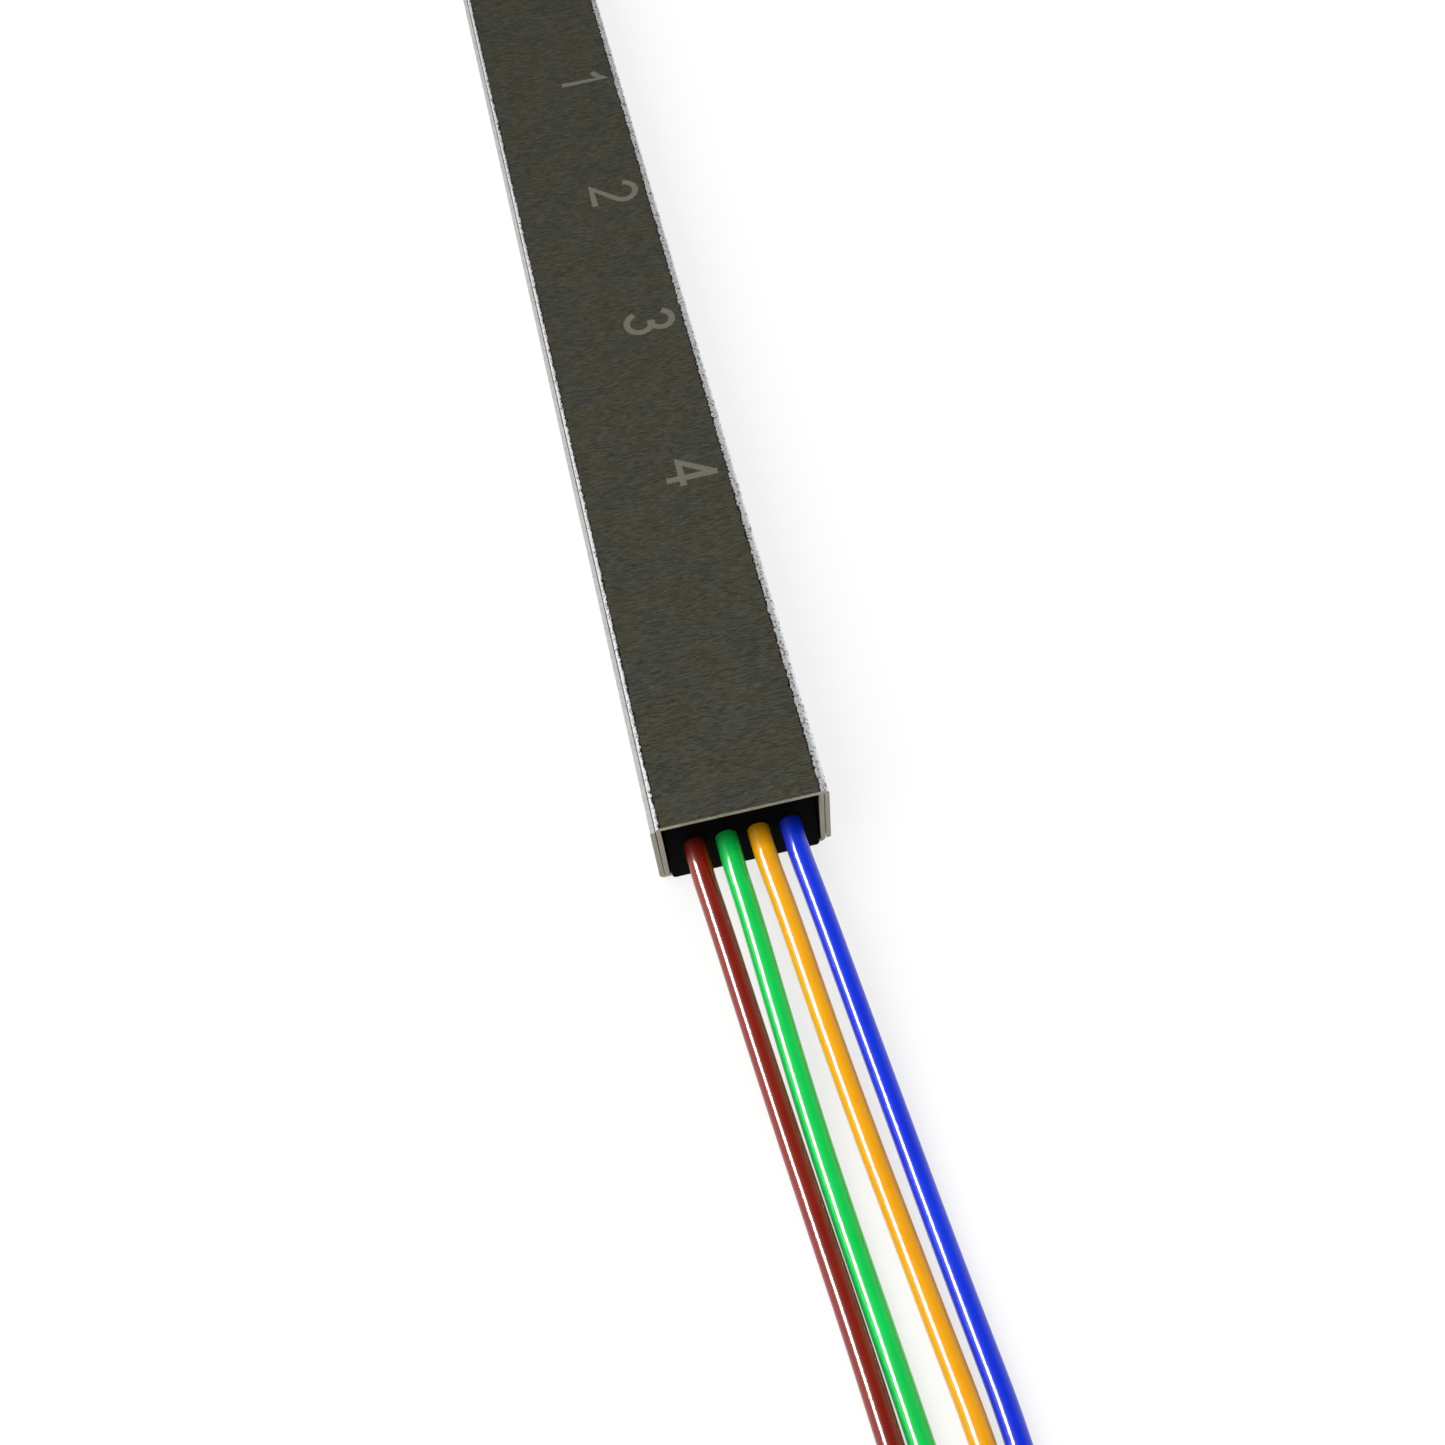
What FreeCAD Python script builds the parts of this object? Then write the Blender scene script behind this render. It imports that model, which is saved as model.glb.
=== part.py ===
"""Steel-tube fibre splitter, one fibre in and four out, with its four output leads.

The housing is two equal sheet channels pushed into each other, so each side has one outer and one
inner flange. A rubber plug closes each end. Inside, a waveguide chip sits between two fibre arrays,
four coated fibres fan out to the leads, and the leads leave through the output plug.

Frame, in millimetres: X across the housing, Y along it with the output end towards -Y, Z up.
The origin is under the middle of the housing, on the surface that it stands on.
"""

import FreeCAD
import Part

import math
import os

from FreeCAD import Vector

# Housing: two folded sheet channels
housing_length = 60.0
housing_width = 7.0
housing_height = 4.0
sheet_thickness = 0.2
bend_inner_radius = 0.1
fold_clearance = 0.05  # between a flange and the sheet or flange beside it

# End plugs
plug_length = 6.0
plug_clearance = 0.05  # to the flanges and to the cover sheet
plug_corner_radius = 0.15
plug_face_rake = 0.4  # how far the top of the outer face lies inside the housing
plug_lap = 0.12  # how far the foot of the outer face laps over the edge of the base sheet

# Leads: loose tubes with a fibre in each
lead_colours = ("brown", "green", "orange", "blue")
lead_diameter = 0.9
lead_bore = 0.5
lead_pitch = 1.27
lead_reach = 11.0  # from the end of the housing to the inner end of a lead
lead_face_depth = 0.6  # from the end of the housing in to where the free lead starts
bore_clearance = 0.02
axis_height = 1.95  # of the leads, the fibres and the chip's cores

# Fibres
fibre_coat_diameter = 0.245
fibre_glass_diameter = 0.125
input_run = 5.0  # from the input array to the input plug
glue_film = 0.002

# Fibre arrays: a grooved base and a lid, polished to the chip at a slant
array_length = 8.0
array_width = 2.5
array_base_thickness = 1.25
array_lid_thickness = 1.0
groove_pitch = 0.25
groove_length = 4.5
groove_half_angle = 30.0
coat_setback = 0.5  # from the step to where the fibre's coat ends
polish_angle = 8.0

# Waveguide chip
chip_length = 11.0
chip_width = 2.5
chip_thickness = 1.2
core_size = 0.03
split_width = 0.25  # from the middle to each branch of the first split
first_split_length = 3.6
second_split_length = 2.8
core_lead_in = 1.0
core_mid_run = 0.6
chip_lid_length = 2.0
chip_lid_thickness = 1.0

# Glue beads on the arrays, and the soft beds under them
bead_width = 1.9
bead_length = 2.6
bead_height = 0.75
bead_corner_radius = 0.3
bead_setback = 0.3
bed_width = 2.0
bed_length = 4.5
bed_corner_radius = 0.4
stub_gap = 0.3  # between the input fibre and the input plug

# Coils: the length of each lead that is put away, wound beside the others and tied
coil_mean_diameter = 10.4
coil_columns = 4
coil_layers = 8
coil_pitch = 0.94
coil_chamfer = 0.35
coil_first_edge = -58.0
coil_gap = 0.3
lead_lanes = (0.05, 1.05, 2.85, 3.85)  # where the leads run past the coils, from the middle
tie_thickness = 0.2
tie_width = 2.0
tie_angles = (60.0, 180.0, 300.0)

# Routes of the free leads, from the plug to the coils
lead_routes = {
    "brown": [
        (-1.905, -29.4, 1.95), (-1.905, -30.8, 1.95), (-1.68, -33.4, 1.92), (-1.37, -37.6, 1.45),
        (-1.02, -41.8, 0.75), (-0.69, -45.6, 0.47), (-0.40, -49.2, 0.46), (-0.18, -52.6, 0.46),
        (0.05, -56.4, 0.67), (0.05, -58.0, 0.67),
    ],
    "green": [
        (-0.635, -29.4, 1.95), (-0.635, -30.8, 1.95), (-0.46, -33.4, 1.92), (-0.295, -37.6, 1.42),
        (-0.055, -41.8, 0.73), (0.235, -45.6, 0.47), (0.53, -49.2, 0.46), (0.79, -52.6, 0.46),
        (1.03, -56.3, 0.46), (1.09, -62.4, 0.46), (1.05, -68.4, 0.67), (1.05, -72.46, 0.67),
    ],
    "orange": [
        (0.635, -29.4, 1.95), (0.635, -30.8, 1.95), (0.90, -33.4, 1.90), (1.22, -37.6, 1.40),
        (1.62, -41.8, 0.72), (2.01, -45.6, 0.47), (2.355, -49.2, 0.46), (2.71, -52.6, 0.46),
        (2.88, -57.0, 0.46), (2.83, -63.4, 0.46), (2.88, -70.6, 0.46), (2.84, -77.8, 0.46),
        (2.85, -83.0, 0.67), (2.85, -86.92, 0.67),
    ],
    "blue": [
        (1.905, -29.4, 1.95), (1.905, -30.8, 1.95), (2.155, -33.4, 1.92), (2.52, -37.6, 1.43),
        (2.925, -41.8, 0.73), (3.24, -45.6, 0.47), (3.54, -49.2, 0.46), (3.85, -52.6, 0.46),
        (3.89, -57.2, 0.46), (3.83, -63.8, 0.46), (3.88, -71.6, 0.46), (3.83, -79.4, 0.46),
        (3.88, -87.0, 0.46), (3.84, -93.4, 0.46), (3.85, -97.8, 0.67), (3.85, -101.38, 0.67),
    ],
}
tangent_share = 0.45  # of the shorter run, taken by the arc at each point of a route

# Places that follow from the sizes
half_length = housing_length / 2
flange_height = housing_height - sheet_thickness - fold_clearance
channel_width = housing_width - sheet_thickness - fold_clearance
cavity_width = housing_width - 4 * sheet_thickness - 2 * fold_clearance
plug_width = cavity_width - 2 * plug_clearance
plug_top = housing_height - sheet_thickness - plug_clearance
lead_places = [(k - (len(lead_colours) - 1) / 2) * lead_pitch for k in range(len(lead_colours))]
groove_places = [(k - (len(lead_colours) - 1) / 2) * groove_pitch for k in range(len(lead_colours))]
lead_start = -half_length + lead_face_depth
lead_inner_end = -half_length + lead_reach
train_length = 2 * array_length + chip_length
array_rear = half_length - plug_length - input_run - train_length
chip_start = array_rear + array_length
chip_middle = chip_start + chip_length / 2
array_top = axis_height + fibre_glass_diameter / 2 + glue_film
array_bottom = array_top - array_base_thickness
array_step = axis_height - fibre_coat_diameter / 2 - glue_film
chip_top = axis_height + core_size / 2
coil_outer_radius = coil_mean_diameter / 2 + coil_columns * coil_pitch / 2
coil_inner_radius = coil_mean_diameter / 2 - coil_columns * coil_pitch / 2
coil_height = coil_layers * coil_pitch
coil_step = 2 * coil_outer_radius + coil_gap


def prism(points, direction):
    """A closed polygon of points pushed along a vector."""
    corners = [Vector(*p) for p in points]
    return Part.Face(Part.makePolygon(corners + corners[:1])).extrude(Vector(*direction))


def across(outline, width):
    """An outline of (y, z) points, pushed across the housing to a width about its middle."""
    return prism([(-width / 2, y, z) for y, z in outline], (width, 0, 0))


def rod(diameter, start, end):
    """A round bar between two points."""
    line = Vector(*end) - Vector(*start)
    return Part.makeCylinder(diameter / 2, line.Length, Vector(*start), line)


def rounded_bar(width, bottom, top, radius, y_start, y_end):
    """A bar along Y whose cross-section is a rectangle with rounded corners."""
    x, z_low, z_high = width / 2, bottom, top
    bar = Part.makeBox(width, y_end - y_start, z_high - z_low, Vector(-x, y_start, z_low))
    corners = [e for e in bar.Edges if abs(e.tangentAt(e.FirstParameter).y) > 0.9]
    return bar.makeFillet(radius, corners)


def half_turned(shape, y_middle):
    """A copy turned half a turn about the upright line through the point y_middle of the long axis."""
    copy = shape.copy()
    copy.rotate(Vector(0, y_middle, 0), Vector(0, 0, 1), 180)
    return copy


def channel():
    """One folded channel: the base as it lies, with its left flange outermost."""
    outer, inner, t = bend_inner_radius + sheet_thickness, bend_inner_radius, sheet_thickness
    left, right, top = -housing_width / 2, -housing_width / 2 + channel_width, flange_height
    y = -half_length

    def line(a, b):
        return Part.LineSegment(Vector(a[0], y, a[1]), Vector(b[0], y, b[1])).toShape()

    def bend(x_centre, radius, start, end):
        points = [
            Vector(x_centre + radius * math.cos(a), y, outer + radius * math.sin(a))
            for a in (math.radians(start), math.radians((start + end) / 2), math.radians(end))
        ]
        return Part.Arc(*points).toShape()

    edges = [
        line((left, top), (left, outer)),
        bend(left + outer, outer, 180, 270),
        line((left + outer, 0), (right - outer, 0)),
        bend(right - outer, outer, 270, 360),
        line((right, outer), (right, top)),
        line((right, top), (right - t, top)),
        line((right - t, top), (right - t, outer)),
        bend(right - outer, inner, 360, 270),
        line((right - outer, t), (left + outer, t)),
        bend(left + outer, inner, 270, 180),
        line((left + t, outer), (left + t, top)),
        line((left + t, top), (left, top)),
    ]
    return Part.Face(Part.Wire(edges)).extrude(Vector(0, housing_length, 0))


def cover():
    """The same channel turned over, so that its right flange is outermost."""
    shape = channel()
    shape.rotate(Vector(0, 0, housing_height / 2), Vector(0, 1, 0), 180)
    return shape


def end_plug(places):
    """The plug of the output end, with a bore at each place across it."""
    inner_face = -half_length + plug_length
    foot, head = -half_length - plug_lap, -half_length + plug_face_rake

    def face_at(z):
        return foot + (head - foot) * z / plug_top

    body = rounded_bar(plug_width, sheet_thickness, plug_top, plug_corner_radius, foot - 1, inner_face)
    far, low, high = foot - 2, -1.0, housing_height + 1
    outside = [(far, low), (face_at(low), low), (face_at(high), high), (far, high)]
    body = body.cut(across(outside, housing_width))
    lap_top = sheet_thickness + 2 * plug_corner_radius
    lap = across(
        [(foot, 0), (-half_length, 0), (-half_length, lap_top), (face_at(lap_top), lap_top)],
        plug_width - 2 * plug_corner_radius,
    )
    body = body.fuse(lap).removeSplitter()
    bore_diameter = lead_diameter + 2 * bore_clearance
    for x in places:
        start, end = (x, foot - 1, axis_height), (x, inner_face + 1, axis_height)
        body = body.cut(rod(bore_diameter, start, end))
    return body


def held_lead(x):
    """The inner stretch of a lead: a tube from just inside the plug's face to its end in the housing."""
    ends = (x, lead_start, axis_height), (x, lead_inner_end, axis_height)
    return rod(lead_diameter, *ends).cut(rod(lead_bore, *ends))


def s_bend(start, end, z):
    """The two equal arcs that join two points whose tangents both lie along Y."""
    (x0, y0), (x1, y1) = start, end
    shift, run = x1 - x0, y1 - y0
    side = math.copysign(1, shift)
    radius = (run**2 + shift**2) / (4 * abs(shift))
    half = math.asin(run / 2 / radius) / 2
    dx, dy = side * radius * (1 - math.cos(half)), radius * math.sin(half)
    middle = Vector((x0 + x1) / 2, (y0 + y1) / 2, z)
    return [
        Part.Arc(Vector(x0, y0, z), Vector(x0 + dx, y0 + dy, z), middle).toShape(),
        Part.Arc(middle, Vector(x1 - dx, y1 - dy, z), Vector(x1, y1, z)).toShape(),
    ]


def swept(edges, diameter):
    """A round section carried along joined edges."""
    path = Part.Wire(edges)
    first = edges[0]
    start = first.valueAt(first.FirstParameter)
    circle = Part.Wire(Part.makeCircle(diameter / 2, start, first.tangentAt(first.FirstParameter)))
    return path.makePipeShell([circle], True, True)


def polished(y, z):
    """The place along Y of the slanted face that passes through y at the height of the cores."""
    return y + (z - axis_height) * math.tan(math.radians(polish_angle))


def output_fibre(x_lead, x_groove):
    """A fibre from its lead, through the fan-out, to the chip's face. Its coat ends on the array's step."""
    coat_end = array_rear + array_length - groove_length - coat_setback
    z = axis_height
    in_lead = Part.LineSegment(Vector(x_lead, lead_start, z), Vector(x_lead, lead_inner_end, z))
    path = [in_lead.toShape()]
    path += s_bend((x_lead, lead_inner_end), (x_groove, array_rear), z)
    on_array = Part.LineSegment(Vector(x_groove, array_rear, z), Vector(x_groove, coat_end, z))
    path.append(on_array.toShape())
    coated = swept(path, fibre_coat_diameter)
    glass = rod(fibre_glass_diameter, (x_groove, coat_end, z), (x_groove, chip_start + 1, z))
    beyond = [(polished(chip_start, h), h) for h in (z - 1, z + 1)]
    beyond += [(chip_start + 3, z + 1), (chip_start + 3, z - 1)]
    return coated.fuse(glass.cut(across(beyond, array_width))).removeSplitter()


def input_fibre():
    """The fibre from the chip's input to just short of the input plug."""
    rear = chip_start + chip_length + array_length
    coat_end = rear - array_length + groove_length + coat_setback
    plug_face = half_length - plug_length
    coated = rod(fibre_coat_diameter, (0, coat_end, axis_height), (0, plug_face - stub_gap, axis_height))
    end = chip_start + chip_length
    glass = rod(fibre_glass_diameter, (0, end - 1, axis_height), (0, coat_end, axis_height))
    heights = axis_height - 1, axis_height + 1
    faces = [(2 * chip_middle - polished(chip_start, h), h) for h in heights]
    before = [(end - 3, heights[0]), faces[0], faces[1], (end - 3, heights[1])]
    return coated.fuse(glass.cut(across(before, array_width))).removeSplitter()


def array_base(places):
    """The grooved block of the output array, with a step for the coated fibres."""
    step_end = chip_start - groove_length
    outline = [
        (array_rear, array_bottom),
        (polished(chip_start, array_bottom), array_bottom),
        (polished(chip_start, array_top), array_top),
        (step_end, array_top),
        (step_end, array_step),
        (array_rear, array_step),
    ]
    block = across(outline, array_width)
    half_angle = math.radians(groove_half_angle)
    root = axis_height - (fibre_glass_diameter / 2 + glue_film) / math.sin(half_angle)
    mouth = array_top + glue_film * 5
    half_mouth = (mouth - root) * math.tan(half_angle)
    y = step_end - 1
    for x in places:
        corners = [(x, y, root), (x + half_mouth, y, mouth), (x - half_mouth, y, mouth)]
        block = block.cut(prism(corners, (0, groove_length + 2, 0)))
    return block


def array_lid():
    """The plain block over the grooves of the output array."""
    bottom, top = array_top, array_top + array_lid_thickness
    rear = chip_start - groove_length
    outline = [(rear, bottom), (polished(chip_start, bottom), bottom)]
    outline += [(polished(chip_start, top), top), (rear, top)]
    return across(outline, array_width)


def bead(places):
    """The glue over the coated fibres at the rear of the output array, down to the step beside them."""
    front = chip_start - groove_length - coat_setback - bead_setback
    rear = front - bead_length
    mound = rounded_bar(
        bead_width, array_step - bead_corner_radius, array_step + bead_height, bead_corner_radius, rear, front
    )
    row = places[-1] - places[0]
    channel_radius = fibre_coat_diameter / 2 + glue_film
    below = Part.makeBox(bead_width, bead_length, 1, Vector(-bead_width / 2, rear, array_step - 1))
    under_row = Part.makeBox(
        row + 2 * channel_radius,
        bead_length,
        axis_height - array_step,
        Vector(-row / 2 - channel_radius, rear, array_step),
    )
    mound = mound.cut(below).cut(under_row)
    for x in places:
        mound = mound.cut(rod(2 * channel_radius, (x, rear - 1, axis_height), (x, front + 1, axis_height)))
    return mound


def array_bed():
    """The soft pad that carries the output array on the base sheet."""
    height = array_bottom - sheet_thickness
    rear = array_rear + (array_length - bed_length) / 2
    pad = Part.makeBox(bed_width, bed_length, height, Vector(-bed_width / 2, rear, sheet_thickness))
    corners = [e for e in pad.Edges if abs(e.tangentAt(e.FirstParameter).z) > 0.9]
    return pad.makeFillet(bed_corner_radius, corners)


def core_run(x, y_start, y_end):
    """A straight stretch of core, as a shallow bar under the chip's top face."""
    corner = Vector(x - core_size / 2, y_start, chip_top - core_size)
    return Part.makeBox(core_size, y_end - y_start, core_size, corner)


def core_bend(x_start, y_start, x_end, y_end):
    """An S-shaped stretch of core between two straight ones."""
    bottom = chip_top - core_size
    sides = []
    for offset in (-core_size / 2, core_size / 2):
        sides.append(s_bend((x_start + offset, y_start), (x_end + offset, y_end), bottom))
    caps = []
    for x, y in ((x_start, y_start), (x_end, y_end)):
        ends = Vector(x - core_size / 2, y, bottom), Vector(x + core_size / 2, y, bottom)
        caps.append(Part.LineSegment(*ends).toShape())
    outline = Part.Wire(Part.__sortEdges__(sides[0] + [caps[1]] + sides[1] + [caps[0]]))
    return Part.Face(outline).extrude(Vector(0, 0, core_size))


def waveguide_tree():
    """The cores: one at the input, split in two and again in two, ending at the four grooves."""
    input_end = chip_start + chip_length
    first = input_end - core_lead_in
    first_end = first - first_split_length
    second = first_end - core_mid_run
    second_end = second - second_split_length
    pieces = [core_run(0, first, input_end + 1)]
    half = groove_pitch / 2
    for side in (-1, 1):
        x = side * split_width
        pieces += [core_bend(x, first_end, 0, first), core_run(x, second, first_end)]
        for way in (-1, 1):
            pieces += [
                core_bend(x + way * half, second_end, x, second),
                core_run(x + way * half, chip_start - 1, second_end),
            ]
    return pieces[0].multiFuse(pieces[1:]).removeSplitter()


def chip_block():
    """The chip's outline, with both ends polished to the arrays' slant."""
    low, high = chip_top - chip_thickness, chip_top
    outline = [(polished(chip_start, low), low), (polished(chip_start, high), high)]
    outline += [(2 * chip_middle - y, z) for y, z in reversed(outline)]
    return across(outline, chip_width)


def chip_lid():
    """The glass block on the chip's output end, which widens the face that is glued to the array."""
    low, high = chip_top, chip_top + chip_lid_thickness
    rear = chip_start + chip_lid_length
    outline = [(polished(chip_start, low), low), (rear, low)]
    outline += [(rear, high), (polished(chip_start, high), high)]
    return across(outline, chip_width)


def cord_path(points):
    """Straight runs joined by tangent arcs, and the arcs' radii."""
    corners = [Vector(*p) for p in points]
    edges, radii, last = [], [], corners[0]
    for before, here, after in zip(corners, corners[1:], corners[2:]):
        back, on = before - here, after - here
        reach = tangent_share * min(back.Length, on.Length)
        half_turn = (math.pi - back.getAngle(on)) / 2
        radius = reach / math.tan(half_turn)
        back.normalize()
        on.normalize()
        start, end = here + back * reach, here + on * reach
        inward = back + on
        inward.normalize()
        middle = here + inward * (radius / math.cos(half_turn) - radius)
        edges += [Part.LineSegment(last, start).toShape(), Part.Arc(start, middle, end).toShape()]
        radii.append(radius)
        last = end
    edges.append(Part.LineSegment(last, corners[-1]).toShape())
    return edges, radii


def free_lead(colour):
    """A lead from the plug's face to its coil."""
    edges, radii = cord_path(lead_routes[colour])
    tube = swept(edges, lead_diameter)
    length = sum(e.Length for e in edges)
    section = math.pi * lead_diameter**2 / 4
    ratio = tube.Volume / section / length
    print(f"lead_{colour}: length {length:.2f}, volume / (section x length) {ratio:.5f}")
    print(f"  arc radii {', '.join(f'{r:.1f}' for r in radii)}")
    return tube


def coil_centre(k):
    """The middle of the coil of lead k, under its axis."""
    x = lead_lanes[k] - coil_outer_radius + coil_pitch / 2
    y = coil_first_edge - coil_outer_radius - k * coil_step
    return Vector(x, y, 0)


def ring(centre, margin):
    """A coil's outer shape as a ring with chamfered rims, grown by a margin all round."""
    low, high = tie_thickness - margin, tie_thickness + coil_height + margin
    inner, outer = coil_inner_radius - margin, coil_outer_radius + margin
    outline = (inner, low), (outer, low), (outer, high), (inner, high), (inner, low)
    section = Part.Face(Part.makePolygon([Vector(x, 0, z) for x, z in outline]))
    body = section.revolve(Vector(0, 0, 0), Vector(0, 0, 1), 360)
    rims = [e for e in body.Edges if isinstance(e.Curve, Part.Circle)]
    body = body.makeChamfer(coil_chamfer + margin * (2 - math.sqrt(2)), rims)
    body.translate(centre)
    return body


def coil(k):
    """The wound stretch of a lead, with the straight run that leads into its outermost turn."""
    centre = coil_centre(k)
    half = lead_diameter / 2
    corner = Vector(lead_lanes[k] - half, centre.y, tie_thickness + coil_pitch / 2 - half)
    run_in = Part.makeBox(lead_diameter, coil_outer_radius, lead_diameter, corner)
    return ring(centre, 0).fuse(run_in).removeSplitter()


def ties(k):
    """The bands that hold a coil together and carry it."""
    centre = coil_centre(k)
    band = ring(centre, tie_thickness).cut(ring(centre, 0))
    bands = []
    for angle in tie_angles:
        corner = Vector(0, -tie_width / 2, -1)
        window = Part.makeBox(2 * coil_outer_radius, tie_width, coil_height + 4, corner)
        window.rotate(Vector(0, 0, 0), Vector(0, 0, 1), angle)
        window.translate(centre)
        bands += band.common(window).Solids
    return Part.makeCompound(bands)


def build():
    """Every sub-part by its name."""
    tree = waveguide_tree()
    chip = chip_block()
    output_base, output_lid = array_base(groove_places), array_lid()
    parts = {
        "housing_base": channel(),
        "housing_cover": cover(),
        "output_plug": end_plug(lead_places),
        "input_plug": half_turned(end_plug([0.0]), 0),
        "splitter_chip": chip.cut(tree),
        "waveguide_tree": tree.common(chip),
        "chip_lid_output": chip_lid(),
        "chip_lid_input": half_turned(chip_lid(), chip_middle),
        "output_array_base": output_base,
        "output_array_lid": output_lid,
        "input_array_base": half_turned(array_base([0.0]), chip_middle),
        "input_array_lid": half_turned(output_lid, chip_middle),
        "output_glue_bead": bead(groove_places),
        "input_glue_bead": half_turned(bead([0.0]), chip_middle),
        "output_array_bed": array_bed(),
        "input_array_bed": half_turned(array_bed(), chip_middle),
        "input_fibre": input_fibre(),
    }
    for k, colour in enumerate(lead_colours):
        parts[f"fibre_{colour}"] = output_fibre(lead_places[k], groove_places[k])
        parts[f"held_lead_{colour}"] = held_lead(lead_places[k])
        parts[f"lead_{colour}"] = free_lead(colour)
        parts[f"coil_{colour}"] = coil(k)
        parts[f"coil_ties_{colour}"] = ties(k)
    return parts


def main():
    os.makedirs("parts", exist_ok=True)
    for name, shape in build().items():
        print(f"{name}: {len(shape.Solids)} solids, {shape.Volume:.4f} cubic mm, valid {shape.isValid()}")
        shape.exportStep(os.path.join("parts", f"{name}.step"))


main()
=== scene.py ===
"""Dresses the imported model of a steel-tube fibre splitter, one fibre in and four leads out.

The frame is the CAD model's own: metres, X across the housing, Y along it with the output end
towards -Y, Z up, and the floor at zero. Each sub-assembly below is a class that holds its sizes in
millimetres, builds its meshes and dresses them. The CAD nodes that keep their shape, such as the
chip and its fibre arrays, only get their finish here.
"""

import logging
import math
from collections.abc import Callable, Sequence
from dataclasses import dataclass, field
from enum import Enum

import bmesh
import bpy
from bmesh.types import BMesh, BMVert
from bpy.types import Material, Node, NodeSocket, NodeTree, Object
from mathutils import Matrix, Vector, noise


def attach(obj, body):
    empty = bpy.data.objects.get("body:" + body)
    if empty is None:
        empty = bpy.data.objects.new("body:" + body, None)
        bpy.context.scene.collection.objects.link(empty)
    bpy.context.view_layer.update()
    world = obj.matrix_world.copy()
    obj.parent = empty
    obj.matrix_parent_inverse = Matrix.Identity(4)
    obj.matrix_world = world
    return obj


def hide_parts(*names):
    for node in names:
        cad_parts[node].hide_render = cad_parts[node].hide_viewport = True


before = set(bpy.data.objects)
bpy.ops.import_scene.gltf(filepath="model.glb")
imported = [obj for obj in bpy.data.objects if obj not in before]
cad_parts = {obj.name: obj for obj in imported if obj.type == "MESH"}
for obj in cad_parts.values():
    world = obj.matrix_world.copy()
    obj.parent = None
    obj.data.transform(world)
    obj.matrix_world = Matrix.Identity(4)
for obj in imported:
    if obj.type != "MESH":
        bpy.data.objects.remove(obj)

logging.basicConfig(level=logging.INFO, format="%(message)s")
log = logging.getLogger("fibre_splitter")

MM = 0.001
BODY = "root"
MIX_A, MIX_B, MIX_RESULT = 6, 7, 2  # sockets of a Mix node that is set to colours

Point = tuple[float, float, float]
Colour = tuple[float, float, float, float]


class LeadColour(Enum):
    """The colour code of the four output leads, from left to right."""

    BROWN = "brown"
    GREEN = "green"
    ORANGE = "orange"
    BLUE = "blue"


def linear(code: str) -> Colour:
    """Turns an sRGB hex colour to a linear one.

    Args:
        code: The colour as six hex digits after a hash.

    Returns:
        Linear red, green and blue, and an alpha of 1.
    """
    shares = [int(code[k : k + 2], 16) / 255 for k in (1, 3, 5)]
    red, green, blue = (c / 12.92 if c <= 0.04045 else ((c + 0.055) / 1.055) ** 2.4 for c in shares)
    return red, green, blue, 1.0


def grey(share: float) -> Colour:
    """A neutral linear colour of this share of white."""
    return share, share, share, 1.0


def add_node(
    tree: NodeTree, kind: str, settings: dict | None = None, links: dict | None = None
) -> Node:
    """Adds a node with its settings and links.

    Args:
        tree: The node tree that the node joins.
        kind: The node's type, without its "ShaderNode" prefix.
        settings: Values by property name, or by input name or number. "stops" are a ramp's.
        links: Output sockets by the input name or number that they feed.

    Returns:
        The new node.
    """
    node = tree.nodes.new("ShaderNode" + kind)
    for key, value in (settings or {}).items():
        if key == "stops":
            elements = node.color_ramp.elements
            while len(elements) < len(value):
                elements.new(1.0)
            for element, (place, colour) in zip(elements, value):
                element.position, element.color = place, colour
        elif isinstance(key, str) and hasattr(node, key):
            setattr(node, key, value)
        else:
            node.inputs[key].default_value = value
    for key, socket in (links or {}).items():
        tree.links.new(socket, node.inputs[key])
    return node


@dataclass(frozen=True)
class Finish:
    """A finish that one material gives: its name and the values of its shader."""

    name: str
    colour: str
    roughness: float
    metallic: float = 0.0
    ior: float = 1.5
    specular: float = 0.5

    def build(self) -> Material:
        """Makes the material.

        Returns:
            A new material with its node tree.
        """
        material = bpy.data.materials.new(self.name)
        material.use_nodes = True
        tree = material.node_tree
        tree.nodes.clear()
        settings = {
            "Base Color": linear(self.colour),
            "Roughness": self.roughness,
            "Metallic": self.metallic,
            "Specular IOR Level": self.specular,
        }
        if not self.metallic:
            settings["IOR"] = self.ior
        shader = add_node(tree, "BsdfPrincipled", settings)
        place = add_node(tree, "TexCoord").outputs["Object"]
        self.dress(tree, shader, place)
        add_node(tree, "OutputMaterial", links={"Surface": shader.outputs["BSDF"]})
        return material

    def dress(self, tree: NodeTree, shader: Node, place: NodeSocket) -> None:
        """Adds the finish's own pattern to its shader.

        Args:
            tree: The material's node tree.
            shader: Its Principled shader.
            place: The point on the object, in metres.
        """

    def milky(self, shader: Node, weight: float, reach: float) -> None:
        """Lets light spread under the surface.

        Args:
            shader: The Principled shader.
            weight: The share of light that spreads.
            reach: How far it spreads, in mm.
        """
        shader.inputs["Subsurface Weight"].default_value = weight
        shader.inputs["Subsurface Radius"].default_value = (1.0, 1.0, 1.0)
        shader.inputs["Subsurface Scale"].default_value = reach * MM


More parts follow.
